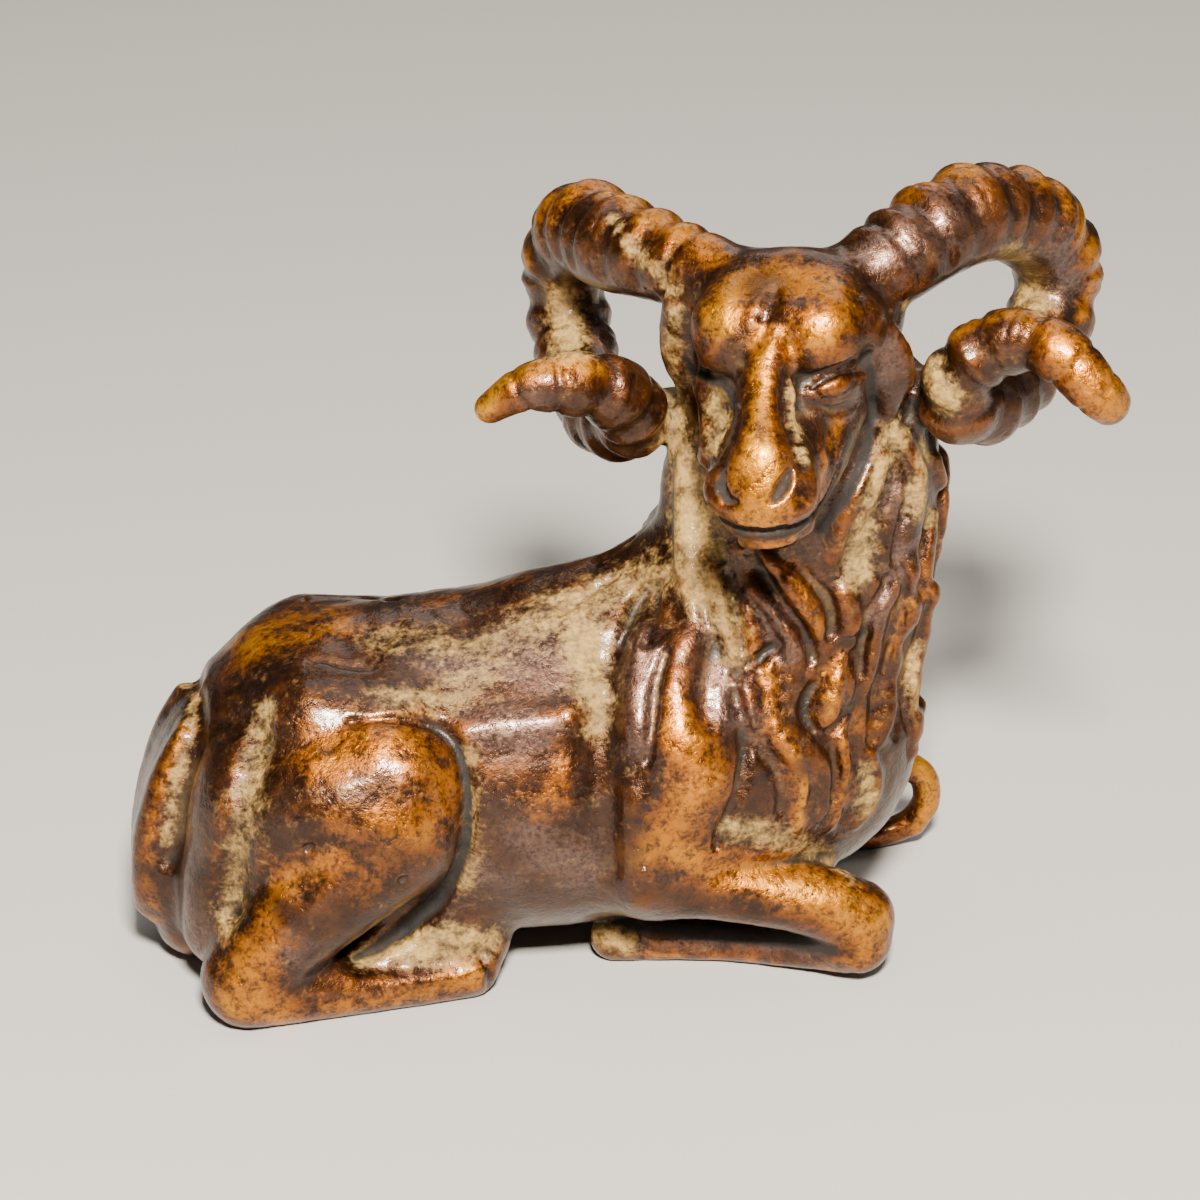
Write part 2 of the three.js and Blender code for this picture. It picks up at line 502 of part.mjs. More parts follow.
// Joins each pair of samples that the surface passes between, and walks the six tetrahedra of every cell
function polygonise(field) {
  const corners = [[0, 0, 0], [1, 0, 0], [1, 1, 0], [0, 1, 0], [0, 0, 1], [1, 0, 1], [1, 1, 1], [0, 1, 1]];
  const tetrahedra = [[0, 5, 1, 6], [0, 1, 2, 6], [0, 2, 3, 6], [0, 3, 7, 6], [0, 7, 4, 6], [0, 4, 5, 6]];
  const offsets = corners.map((corner) => corner.reduce((sum, n, c) => sum + n * field.strides[c], 0));
  const values = field.value.map((v) => (Math.abs(v) < 1e-3 ? 1e-3 : v));
  const points = [];
  const faces = [];
  const known = new Map();
  const crossing = (one, other) => {
    const [low, high] = one < other ? [one, other] : [other, one];
    const key = low * values.length + high;
    if (!known.has(key)) {
      const share = values[low] / (values[low] - values[high]);
      const [from, to] = [field.place(low), field.place(high)];
      known.set(key, points.length / 3);
      points.push(...from.map((c, i) => c + share * (to[i] - c)));
    }
    return known.get(key);
  };
  const pointOf = (id) => new THREE.Vector3().fromArray(points, 3 * id);
  const addFace = (ring, inner) => {
    const [a, b, c] = ring.map(pointOf);
    const normal = b.clone().sub(a).cross(c.clone().sub(a));
    const inside = new THREE.Vector3(...field.place(inner)).sub(a);
    const turned = normal.dot(inside) > 0;
    for (let i = 1; i + 1 < ring.length; i++) {
      faces.push(ring[0], ...(turned ? [ring[i + 1], ring[i]] : [ring[i], ring[i + 1]]));
    }
  };
  for (let k = 0; k < field.size[2] - 1; k++) {
    for (let j = 0; j < field.size[1] - 1; j++) {
      for (let i = 0; i < field.size[0] - 1; i++) {
        const base = i + j * field.strides[1] + k * field.strides[2];
        const inside = offsets.filter((offset) => values[base + offset] < 0).length;
        if (inside === 0 || inside === 8) continue;
        for (const tetrahedron of tetrahedra) {
          const ids = tetrahedron.map((corner) => base + offsets[corner]);
          const within = ids.filter((id) => values[id] < 0);
          const without = ids.filter((id) => values[id] >= 0);
          if (within.length === 1) addFace(without.map((id) => crossing(within[0], id)), within[0]);
          if (within.length === 3) addFace(within.map((id) => crossing(id, without[0])), within[0]);
          if (within.length === 2) {
            const [[a, b], [c, d]] = [within, without];
            addFace([crossing(a, c), crossing(a, d), crossing(b, d), crossing(b, c)], a);
          }
        }
      }
    }
  }
  return { points, faces };
}

// A heap that gives back the edge whose loss costs least
class CheapestFirst {
  constructor() {
    this.items = [];
  }

  push(item) {
    const { items } = this;
    let at = items.length;
    items.push(item);
    while (at > 0) {
      const parent = (at - 1) >> 1;
      if (items[parent].cost <= item.cost) break;
      items[at] = items[parent];
      at = parent;
    }
    items[at] = item;
  }

  pop() {
    const { items } = this;
    const first = items[0];
    const item = items.pop();
    if (items.length === 0) return first;
    let at = 0;
    for (;;) {
      let child = 2 * at + 1;
      if (child >= items.length) break;
      if (child + 1 < items.length && items[child + 1].cost < items[child].cost) child += 1;
      if (items[child].cost >= item.cost) break;
      items[at] = items[child];
      at = child;
    }
    items[at] = item;
    return first;
  }
}

// The place that lies closest to all the planes gathered in a quadric, held near a middle point
function bestPlace(q, middle) {
  const hold = 1e-3 * (q[0] + q[4] + q[7]) + 1e-9;
  const rows = new THREE.Matrix3();
  rows.set(q[0] + hold, q[1], q[2], q[1], q[4] + hold, q[5], q[2], q[5], q[7] + hold);
  const side = middle.clone().multiplyScalar(hold).sub(new THREE.Vector3(q[3], q[6], q[8]));
  return side.applyMatrix3(rows.invert());
}

function strayed(q, p) {
  const x = q[0] * p.x + 2 * (q[1] * p.y + q[2] * p.z + q[3]);
  const y = q[4] * p.y + 2 * (q[5] * p.z + q[6]);
  const z = q[7] * p.z + 2 * q[8];
  return Math.max(x * p.x + y * p.y + z * p.z + q[9], 0);
}

// Thins a closed surface. It closes the edge whose loss moves the surface least, until few faces are left,
// and never one that would fold a face over or pinch the surface.
function thin({ points, faces }, target) {
  const place = [];
  for (let i = 0; i < points.length; i += 3) place.push(new THREE.Vector3().fromArray(points, i));
  const face = [];
  for (let i = 0; i < faces.length; i += 3) face.push([faces[i], faces[i + 1], faces[i + 2]]);
  const around = place.map(() => []);
  const quadric = place.map(() => new Float64Array(10));
  const changed = new Uint32Array(place.length);
  const cross = (a, b, c) => b.clone().sub(a).cross(c.clone().sub(a));
  face.forEach((corners, f) => {
    const normal = cross(...corners.map((id) => place[id]));
    const area = normal.length();
    normal.divideScalar(area || 1);
    const flat = [normal.x, normal.y, normal.z, -normal.dot(place[corners[0]])];
    const { x, z } = place[corners[0]];
    const weight = area * (x > MANE_BACK || z > BACK_TOP ? CARE : 1);
    for (const id of corners) {
      around[id].push(f);
      let entry = 0;
      for (let i = 0; i < 4; i++) {
        for (let j = i; j < 4; j++) quadric[id][entry++] += weight * flat[i] * flat[j];
      }
    }
  });
  const neighbours = (id) => new Set(around[id].flatMap((f) => face[f]).filter((other) => other !== id));
  const heap = new CheapestFirst();
  const consider = (a, b) => {
    const q = quadric[a].map((value, i) => value + quadric[b][i]);
    const middle = place[a].clone().add(place[b]).multiplyScalar(0.5);
    const goal = bestPlace(q, middle);
    heap.push({ a, b, q, goal, cost: strayed(q, goal), stamp: changed[a] + changed[b] });
  };
  face.forEach(([a, b, c]) => {
    if (a < b) consider(a, b);
    if (b < c) consider(b, c);
    if (c < a) consider(c, a);
  });
  const folds = (id, other, goal) => around[id].some((f) => {
    const corners = face[f];
    if (corners.includes(other)) return false;
    const before = cross(...corners.map((c) => place[c]));
    const after = cross(...corners.map((c) => (c === id ? goal : place[c])));
    return after.dot(before) < 0.25 * after.length() * before.length() || after.length() < 1e-3;
  });
  let left = face.length;
  while (left > target && heap.items.length > 0) {
    const { a, b, q, goal, stamp } = heap.pop();
    if (around[a].length === 0 || around[b].length === 0 || stamp !== changed[a] + changed[b]) continue;
    const ofA = neighbours(a);
    if (!ofA.has(b)) continue;
    const shared = [...neighbours(b)].filter((id) => ofA.has(id));
    if (shared.length !== 2 || folds(a, b, goal) || folds(b, a, goal)) continue;
    const lost = around[a].filter((f) => face[f].includes(b));
    for (const f of lost) {
      for (const id of face[f]) around[id] = around[id].filter((other) => other !== f);
      face[f] = null;
    }
    for (const f of around[b]) face[f] = face[f].map((id) => (id === b ? a : id));
    around[a].push(...around[b]);
    around[b] = [];
    place[a] = goal;
    quadric[a] = q;
    left -= lost.length;
    changed[a] += 1;
    for (const id of neighbours(a)) consider(a, id);
  }
  const number = new Map();
  const kept = face.filter(Boolean);
  for (const id of kept.flat()) if (!number.has(id)) number.set(id, number.size);
  return {
    points: [...number.keys()].flatMap((id) => place[id].toArray()),
    faces: kept.flat().map((id) => number.get(id)),
  };
}

const field = new Field();
trunk(field);
neck(field);
tail(field);
hindLeg(field, -1);
hindLeg(field, 1);
nearForeleg(field);
farForeleg(field);
skull(field);
ear(field, -1);
ear(field, 1);
horns(field);
face(field);
mane(field);
carving(field);

const wasm = await Module();
wasm.setup();

function solid({ points, faces }) {
  const mesh = { numProp: 3, vertProperties: new Float32Array(points), triVerts: new Uint32Array(faces) };
  return new wasm.Manifold(new wasm.Mesh(mesh));
}

// The block of ground that the figure's underside is cut flat by
function ground() {
  const size = [HIGH[0] - LOW[0], HIGH[1] - LOW[1], GROUND_SLAB];
  const box = new THREE.BoxGeometry(...size).translate(0, 0, -GROUND_SLAB / 2);
  const corner = box.getAttribute("position");
  const known = new Map();
  const ids = [];
  for (let i = 0; i < corner.count; i++) {
    const key = [corner.getX(i), corner.getY(i), corner.getZ(i)].join();
    if (!known.has(key)) known.set(key, known.size);
    ids.push(known.get(key));
  }
  const points = [...known.keys()].flatMap((key) => key.split(",").map(Number));
  return solid({ points, faces: [...box.getIndex().array].map((i) => ids[i]) });
}

function castGeometry() {
  const mesh = solid(thin(polygonise(field), TRIANGLES)).subtract(ground()).getMesh();
  const geometry = new THREE.BufferGeometry();
  geometry.setAttribute("position", new THREE.BufferAttribute(mesh.vertProperties, 3));
  geometry.setIndex(new THREE.BufferAttribute(mesh.triVerts, 1));
  geometry.translate(-CENTRE[0], -CENTRE[1], 0);
  geometry.computeVertexNormals();
  return geometry;
}

const bronze = new THREE.MeshStandardMaterial({ color: 0x8a4a1c, roughness: 0.4, metalness: 0.8 });
const goat = new THREE.Mesh(castGeometry(), bronze);
goat.name = "goat_figurine";

const figurine = new THREE.Group();
figurine.add(goat);

export default figurine;
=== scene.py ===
"""A recumbent goat in cast bronze, with the fine relief and the patina that its plain solid leaves out.

The figure is a field in millimetres, the signed distance to tapered limbs that run into each other, turned
into a mesh with one vertex in each cell that the surface passes through.
"""

import math

import bpy
import numpy as np
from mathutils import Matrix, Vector, noise


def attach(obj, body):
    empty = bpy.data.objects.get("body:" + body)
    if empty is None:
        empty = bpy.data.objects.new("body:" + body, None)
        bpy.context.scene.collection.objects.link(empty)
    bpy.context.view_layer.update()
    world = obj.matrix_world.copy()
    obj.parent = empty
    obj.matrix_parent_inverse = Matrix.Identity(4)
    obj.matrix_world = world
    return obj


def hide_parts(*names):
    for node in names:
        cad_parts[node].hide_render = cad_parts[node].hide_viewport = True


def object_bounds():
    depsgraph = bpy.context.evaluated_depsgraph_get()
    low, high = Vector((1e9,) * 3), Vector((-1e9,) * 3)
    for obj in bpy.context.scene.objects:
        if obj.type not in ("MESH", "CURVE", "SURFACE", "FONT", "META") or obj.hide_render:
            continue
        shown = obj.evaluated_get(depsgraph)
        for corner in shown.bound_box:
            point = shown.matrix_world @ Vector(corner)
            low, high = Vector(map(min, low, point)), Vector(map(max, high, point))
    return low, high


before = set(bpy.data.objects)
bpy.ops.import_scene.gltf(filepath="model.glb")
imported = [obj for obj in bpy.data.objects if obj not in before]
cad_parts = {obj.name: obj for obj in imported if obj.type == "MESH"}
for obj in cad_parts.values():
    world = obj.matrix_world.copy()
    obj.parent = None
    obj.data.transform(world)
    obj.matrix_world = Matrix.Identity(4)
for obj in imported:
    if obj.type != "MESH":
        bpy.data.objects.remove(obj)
CAD_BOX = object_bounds()

# Sizes in millimetres, in the frame that the form is described in
MM = 0.001
LOW = np.array([-50.0, -34.0, -5.0])
HIGH = np.array([58.0, 30.0, 86.0])
SAMPLE_STEP = 0.32
NEARLY_ZERO = 1e-4
TINY = 1e-9  # stands in for the length of a limb that is one point
FAR = 7.0  # distances are only true closer to the surface than this
CENTRE = np.array([1.7, -1.5, 0.0])  # where the origin lies in that frame
FACE_LIMIT = 190000

# The point that locks and creases are drawn from, and the middle of the plane that they are drawn on
SIGHT = np.array([0.0, 0.0, 36.6])
SIGHT_DISTANCE = 460.0
SIGHT_TURN = math.radians(-6)
SIGHT_RISE = math.radians(24)
SIGHT_BACK = np.array([
    math.sin(SIGHT_TURN) * math.cos(SIGHT_RISE),
    -math.cos(SIGHT_TURN) * math.cos(SIGHT_RISE),
    math.sin(SIGHT_RISE),
])
SIGHT_RIGHT = np.array([math.cos(SIGHT_TURN), math.sin(SIGHT_TURN), 0.0])
SIGHT_UP = np.cross(SIGHT_BACK, SIGHT_RIGHT)
SIGHT_MARGIN = 60.0  # the search for the surface starts this far before SIGHT
SIGHT_STEP = 0.3
SIGHT_STEPS = 400
LAY_JUMP = 4.0  # a longer jump between two laid points ends a run
NECK = (18.5, 0.0)  # the neck's upright axis, seen from above

# The sides of the body that a form or a stroke is on: the near one shows in the view from SIGHT
NEAR = (1,)
BOTH = (1, -1)

# The head's own frame: x runs forward along the nose, y to the goat's left and z up through the crown
HEAD_ORIGIN = np.array([17.3, -9.0, 68.0])
HEAD_TURN = math.radians(-107)
HEAD_DIP = math.radians(26)
HEAD_ROLL = math.radians(3)

RING_PITCH = 3.9
RING_START = 4.5
RING_END = 82.0
RING_SWELL = 0.15  # how far the rings stand out of a horn's plain line
GROOVE = 1.15  # radius of the grooves between a horn's rings
GROOVE_SINK = 0.35  # how far a groove's middle lies out of the horn, as a share of its radius
GROOVE_REACH = 2.3  # radians that a groove goes round the horn, each way from its outer line
GROOVE_POINTS = 15
ROOT_FADE = 9.0  # length over which the grooves grow from a horn's root
TIP_FADE = 16.0  # length over which they fade towards its tip

# The plainer locks behind the neck, in degrees round it from where they are drawn
HIDDEN_LOCKS = 12
FIRST_HIDDEN_LOCK = 46
HIDDEN_LOCK_PITCH = 18

# Radii over which the form is averaged to tell its crests from its hollows
FINE_FORM = 1.0
MIDDLE_FORM = 2.6
BROAD_FORM = 7.0

# The noises that make the casting uneven, each with its height and its waves to the millimetre
UNEVENNESS = ((0.09, 0.35), (0.05, 1.1))


def smooth(stations, pieces=6):
    """A Catmull-Rom curve through stations whose last number is a radius."""
    stations = np.array(stations, float)
    last = len(stations) - 1
    route = []
    for i in range(last):
        a, b = stations[max(i - 1, 0)], stations[i]
        d, e = stations[i + 1], stations[min(i + 2, last)]
        for t in np.arange(pieces) / pieces:
            bend = 2 * a - 5 * b + 4 * d - e + t * (3 * (b - d) + e - a)
            route.append(b + 0.5 * t * (d - a + t * bend))
    route.append(stations[last])
    return np.array(route)


def travelled(route):
    """How far along a route each of its points lies."""
    steps = np.linalg.norm(np.diff(route[:, :3], axis=0), axis=1)
    return np.concatenate([[0], np.cumsum(steps)])


class Field:
    """Signed distances to the form, negative inside it, on a grid over the box from LOW to HIGH."""

    def __init__(self):
        self.count = np.ceil((HIGH - LOW) / SAMPLE_STEP).astype(int) + 1
        self.value = np.full(self.count, FAR, np.float32)
        self.axes = [(LOW[c] + SAMPLE_STEP * np.arange(self.count[c])).astype(np.float32) for c in range(3)]

    def window(self, low, high):
        """The slices of the grid that hold a box."""
        first = np.clip(np.floor((low - LOW) / SAMPLE_STEP).astype(int), 0, self.count - 1)
        last = np.clip(np.ceil((high - LOW) / SAMPLE_STEP).astype(int), 0, self.count - 1) + 1
        return [slice(a, b) for a, b in zip(first, last)]

    def limb(self, route, blend, cut=False, axis=(0, 0, 1), factor=1.0, reach=4.0):
        """Joins a limb to the form or cuts it away. A limb that isn't round is stretched along an axis by a
        factor. Further away than reach, and than its blend can carry, a limb changes nothing.
        """
        route = np.atleast_2d(np.array(route, float))
        if len(route) == 1:
            route = np.repeat(route, 2, axis=0)
        along = np.array(axis, float) / np.linalg.norm(axis)
        squeeze = 1 / factor - 1
        knots = route[:, :3] + squeeze * (route[:, :3] @ along)[:, None] * along
        grow = max(1.3 * blend, reach)
        stretch = max(1.0, factor)
        margin = route[:, 3].max() * stretch + grow * stretch
        whole = self.window(route[:, :3].min(0) - margin, route[:, :3].max(0) + margin)
        away = np.full([s.stop - s.start for s in whole], 2 * FAR, np.float32)
        for s in range(1, len(route)):
            margin = max(route[s - 1, 3], route[s, 3]) * stretch + grow * stretch
            ends = route[s - 1:s + 1, :3]
            part = self.window(ends.min(0) - margin, ends.max(0) + margin)
            x, y, z = np.ix_(*(self.axes[c][part[c]] for c in range(3)))
            if factor != 1.0:
                shift = squeeze * (x * along[0] + y * along[1] + z * along[2])
                x, y, z = x + shift * along[0], y + shift * along[1], z + shift * along[2]
            start, run = knots[s - 1], knots[s] - knots[s - 1]
            dx, dy, dz = x - start[0], y - start[1], z - start[2]
            t = np.clip((dx * run[0] + dy * run[1] + dz * run[2]) / max(run @ run, TINY), 0, 1)
            near = np.sqrt((dx - t * run[0]) ** 2 + (dy - t * run[1]) ** 2 + (dz - t * run[2]) ** 2)
            near -= route[s - 1, 3] + t * (route[s, 3] - route[s - 1, 3])
            inner = tuple(slice(p.start - w.start, p.stop - w.start) for p, w in zip(part, whole))
            away[inner] = np.minimum(away[inner], near * min(1.0, factor))
        side = -1 if cut else 1
        old = side * self.value[tuple(whole)]
        overlap = np.maximum(blend - np.abs(old - away), 0)
        self.value[tuple(whole)] = side * (np.minimum(old, away) - overlap * overlap / (4 * blend))

    def at(self, points, grid=None):
        """Values of the field, or of another grid of its size, at any points."""
        grid = self.value if grid is None else grid
        place = np.clip((points - LOW) / SAMPLE_STEP, 0, self.count - 1.001)
        whole = place.astype(int)
        part = place - whole
        total = 0
        for corner in np.ndindex(2, 2, 2):
            weight = np.prod(np.where(corner, part, 1 - part), axis=-1)
            total = total + weight * grid[tuple(np.moveaxis(whole + corner, -1, 0))]
        return total


def head_frame():
    forward = Vector((
        math.cos(HEAD_DIP) * math.cos(HEAD_TURN),
        math.cos(HEAD_DIP) * math.sin(HEAD_TURN),
        -math.sin(HEAD_DIP),
    ))
    flat_left = Vector((-math.sin(HEAD_TURN), math.cos(HEAD_TURN), 0))
    left = flat_left * math.cos(HEAD_ROLL) + forward.cross(flat_left) * math.sin(HEAD_ROLL)
    return np.array([forward, left, forward.cross(left)])


HEAD = head_frame()


def in_head(stations):
    """Stations in the head's own frame, moved into the figure's."""
    stations = np.atleast_2d(np.array(stations, float))
    return np.column_stack([HEAD_ORIGIN + stations[:, :3] @ HEAD, stations[:, 3]])


def mirrored(stations, side):
    """Stations of the goat's left, or of its right where side is -1."""
    stations = np.array(stations, float)
    stations[:, 1] *= side
    return stations


def laid(field, stations, sink, side=1, turn=0.0, pieces=5, jump=LAY_JUMP):
    """Lays a drawn route on the form. Its stations are [across, up, radius] on the plane through SIGHT, and
    sink sets the limb's middle below the surface, as a share of its radius. The drawing can be mirrored to
    the far side, or turned round the upright axis of the neck. Only the longest run without a jump is kept.
    """
    plan = smooth(stations, pieces)
    eye = SIGHT + SIGHT_BACK * SIGHT_DISTANCE
    aim = SIGHT + plan[:, :1] * SIGHT_RIGHT + plan[:, 1:2] * SIGHT_UP - eye
    aim /= np.linalg.norm(aim, axis=1, keepdims=True)
    reach = SIGHT_DISTANCE - SIGHT_MARGIN + SIGHT_STEP * np.arange(SIGHT_STEPS)
    points = eye + aim[:, None] * reach[None, :, None]
    cos, sin = math.cos(turn), math.sin(turn)

    def moved(p):
        dx, dy = p[..., 0] - NECK[0], p[..., 1] - NECK[1]
        x, y = NECK[0] + dx * cos - dy * sin, NECK[1] + dx * sin + dy * cos
        return np.stack([x, side * y, p[..., 2]], -1)

    within = field.at(moved(points)) < 0
    runs = [[]]
    for i in range(len(plan)):
        if not within[i].any():
            continue
        hit = points[i, within[i].argmax()] + aim[i] * sink * plan[i, 2]
        station = np.array([*moved(hit), plan[i, 2]])
        if runs[-1] and np.linalg.norm(station[:3] - runs[-1][-1][:3]) > jump:
            runs.append([])
        runs[-1].append(station)
    return np.array(max(runs, key=len))


def trunk(field):
    belly = [[-25, 0, 20.5, 15.5], [-8, 0, 19.9, 17.6], [8, 0, 21, 16.5]]
    withers = [[-4, 0, 32, 7], [6, 0, 35, 7.5], [14, 0, 38, 9]]
    breast = [[12, 0, 20, 15.5], [18.5, 0, 20, 13.5]]
    hip = [[-29, 8, 28, 6.5], [-22, 9.5, 27, 6]]
    field.limb(smooth(belly), 4)
    field.limb(smooth(withers), 5)
    field.limb(smooth(breast), 5)
    for side in (-1, 1):
        field.limb(mirrored(hip, side), 2.5)


def neck(field):
    column = [[17, 0, 30, 15], [20, -1, 42, 13.2], [20.5, -1, 54, 12.6], [19, -2, 64, 8]]
    nape = [[9.8, -1.5, 58, 1.8], [8.7, -1, 53, 2.2], [8.8, -1, 46, 2.6], [9.6, -1, 38, 3]]
    field.limb(smooth(column), 5, axis=(0, 1, 0), factor=0.85)
    field.limb(smooth(nape), 2.5)


def tail(field):
    rump = [[-32, 5, 27, 5.8], [-36, 5, 23, 6.1], [-38, 3.5, 18, 6]]
    hanging = [[-33, 0, 28.5, 4.2], [-39.6, -0.4, 21, 5], [-42.4, -1, 12, 5.2], [-41.2, -1, 4.8, 4.7]]
    field.limb(smooth(rump), 3)
    field.limb(smooth(hanging), 4, axis=(0, 1, 0), factor=1.3)


def hind_leg(field, side):
    thigh = [[-32, 8.5, 19.5, 9.5], [-27, 11.5, 21.5, 8.8], [-22.5, 13, 21.5, 7.6]]
    shank = [[-22.5, 14, 19, 7], [-30, 15.5, 12.5, 5.6], [-37, 16, 4.6, 4.4]]
    foot = [[-36.5, 16.5, 3.8, 4.2], [-27, 15, 2.8, 3.3], [-15, 12.5, 3.1, 3.6]]
    buttock = [[-33.5, 8, 21, 7], [-36.6, 9.4, 13, 6.1], [-38.2, 9.4, 7.4, 4.8]]
    groin = [[-22, 9, 7.5, 4.4], [-16, 10, 8, 4.6], [-12.6, 9, 9, 3.6]]
    instep = [[-24, 12, 4.6, 2.8], [-18, 11, 4.8, 3.4], [-13.4, 10.4, 4.8, 3.2]]
    blends = ((thigh, 1.2), (shank, 1.5), (foot, 1), (buttock, 2), (groin, 2), (instep, 1.5))
    for stations, blend in blends:
        field.limb(smooth(mirrored(stations, side)), blend)


def near_foreleg(field):
    shoulder = [[6, -8, 32, 6], [6.5, -10.5, 26, 7.5], [5, -11, 18, 7], [4, -12, 13, 5.5]]
    forearm = [[4, -13, 12.5, 4.6], [12, -14, 10.8, 3.4], [20, -14, 9, 3.7], [24.5, -13.5, 6.6, 3.9]]
    cannon = [[24.3, -13.4, 4.4, 3.9], [19.5, -11.2, 2.6, 2.5], [11, -8.2, 2, 2.2], [0.8, -6.8, 2.2, 2.5]]
    web = [[10, -9.5, 13, 4], [16, -10, 11.5, 3.2], [21, -9, 11, 1.8]]
    for stations, blend in ((shoulder, 3), (forearm, 1), (cannon, 0.5), (web, 1.5)):
        field.limb(smooth(stations), blend)


def far_foreleg(field):
    shoulder = [[6, 7, 30, 6], [6.5, 10.5, 26, 7.5], [5, 11, 18, 7], [6, 12, 13, 5.5]]
    above_knee = [33.6, 14.5, 9.9, 1.6]
    below_knee = [35, 14.5, 2.7, 1.5]
    forearm = [
        [6, 12, 12.5, 4.6], [16, 14, 12, 4], [25, 14.5, 11.4, 3.3], [30.5, 14.5, 10.8, 2.2], above_knee,
    ]
    knee = [above_knee, [36, 14.5, 8, 1.5], [36.4, 14.5, 5.2, 1.5], below_knee]
    cannon = [
        below_knee, [31, 14.5, 1.4, 1.5], [24, 14.4, 1.7, 2.2], [14, 13.6, 2.1, 2.5], [6, 12.2, 2.5, 2.9],
    ]
    for stations, blend in ((shoulder, 3), (forearm, 1), (knee, 0.3), (cannon, 0.3)):
        field.limb(smooth(stations), blend)


def skull(field):
    crown = [[-3.2, -3.6, -0.9, 6.2], [-3.2, 4.4, -0.7, 6.2]]
    forehead = [[2.5, -1.6, 0.2, 6.8], [2.5, 1.8, 0.2, 6.8]]
    muzzle = [[12, 0, -3, 4], [17.8, 0, -2.7, 5.2]]
    top = [[-1.5, 0, 3.6, 4.4], [3.4, 0, 4.4, 3.8]]
    right_brow = [[-1.5, -3.4, 2.6, 4.4], [3.6, -4.6, 4.2, 3.9]]
    left_brow = [[-1.5, 3.2, 2.8, 4.4], [3.8, 4, 4.4, 3.9], [1.6, 6.8, 3.2, 2.6]]
    nose = [[4, -0.6, 5.1, 3.1], [11.5, -0.4, 2, 2.8], [17.2, 0, 0.4, 3.5]]
    jaw = [[12, -0.4, -8.2, 2.8], [17, -0.6, -7.9, 2.8]]
    cheeks = [
        mirrored(smooth([[1, wide, -5, 4.4], [9, 0.78 * wide, -6.5, 3.9], [16, 0.4 * wide, -7, 3]], 4), side)
        for side, wide in ((-1, 4.6), (1, 3.5))
    ]
    blends = (
        (crown, 3), (forehead, 3), (muzzle, 2.5), (cheeks[0], 2), (cheeks[1], 2), (top, 2),
        (right_brow, 1.8), (left_brow, 1.8), (smooth(nose), 0.8), (jaw, 1.4),
    )
    for stations, blend in blends:
        field.limb(in_head(stations), blend)


def ear(field, side):
    """The right ear starts higher and further out than the left one, and hangs lower."""
    stations = [[0.5, 9.2, 0.2, 1.6], [1, 9.8, -4, 2.3], [1.5, 8.9, -9.2, 1]]
    if side < 0:
        stations = [[-1.5, 11, 1, 1.8], [-1, 11.2, -5, 2.4], [-0.5, 10.4, -11.5, 1.6]]
    axis = np.array([1, 0.4 * side, 0.3]) @ HEAD
    field.limb(in_head(mirrored(smooth(stations, 5), side)), 0.6, axis=axis, factor=0.6)


RIGHT_HORN = in_head(smooth([
    [-4, -6.5, 2, 3.8], [-8, -13, 1.2, 4.2], [-12.5, -19, -1.2, 4.9], [-18, -24, -5, 4.8],
    [-19.5, -27, -11, 4.5], [-16.5, -27, -16.5, 4.3], [-10, -24.5, -18, 4.1], [-2, -20.5, -15.5, 3.9],
    [2.5, -16.5, -10.5, 3.8], [4.5, -17, -5, 3.6], [6.5, -20.5, -1.5, 3], [8.2, -24.5, -0.5, 2.1],
    [9.5, -28, -2, 1.4],
], 12))
LEFT_HORN = in_head(smooth([
    [-4.5, 5.8, 1.6, 3.9], [-8.5, 9.5, 2.2, 4.5], [-14.5, 14, 1.2, 4.9], [-19, 18, -2, 4.8],
    [-21.6, 21.2, -7, 4.7], [-22, 22.4, -12.5, 4.7], [-18.5, 22, -16, 4.5], [-11.5, 20, -16.5, 4.2],
    [-5, 17.5, -14.5, 4], [-1, 15.5, -10.5, 3.8], [-1.5, 16.5, -6, 3.6], [-2.5, 20.8, -3.2, 3.2],
    [-1, 25.7, -3, 2.8], [1, 29, -5.5, 2.4], [1, 30.3, -7.5, 2],
], 12))


def grooved(field, route):
    """Cuts grooves over a horn's outer side, a ring's pitch apart, with fainter ones between."""
    way = travelled(route)
    heart = route[:, :3].mean(0)
    around = np.linspace(-GROOVE_REACH, GROOVE_REACH, GROOVE_POINTS)
    for i, stop in enumerate(np.arange(RING_START, RING_END, RING_PITCH / 2)):
        stop += 0.5 * math.sin(2.3 * i)
        fade = min((RING_END - stop) / TIP_FADE, 1, stop / ROOT_FADE)
        size = GROOVE * fade * (1 + 0.25 * math.sin(1.7 * i)) * (0.3 if i % 2 else 1)
        if size < 0.2:
            continue
        middle = np.array([np.interp(stop, way, route[:, c]) for c in range(4)])
        ahead = np.array([np.interp(stop + 0.5, way, route[:, c]) for c in range(3)])
        along = (ahead - middle[:3]) / np.linalg.norm(ahead - middle[:3])
        outer = middle[:3] - heart
        outer -= along * (outer @ along)
        outer /= np.linalg.norm(outer)
        side = np.cross(along, outer)
        sizes = size * (0.62 + 0.38 * np.cos(1.3 * around))
        ways = outer * np.cos(around)[:, None] + side * np.sin(around)[:, None]
        arc = middle[:3] + ways * (middle[3] + GROOVE_SINK * sizes)[:, None]
        field.limb(np.column_stack([arc, sizes]), 1.3 * size, cut=True, reach=1.5)


def horns(field):
    """Both horns, and the metal that joins the curl of each one to the neck."""
    right_bridge = [[-1, -16.5, -14, 2.6], [-4, -9, -16, 3]]
    left_bridge = [[-2, 15, -11, 2.4], [-4, 9, -12, 3]]
    for horn in (RIGHT_HORN, LEFT_HORN):
        ringed = horn + [0, 0, 0, RING_SWELL]
        field.limb(ringed, 1)
        grooved(field, ringed)
    for bridge in (right_bridge, left_bridge):
        field.limb(in_head(bridge), 1.5)


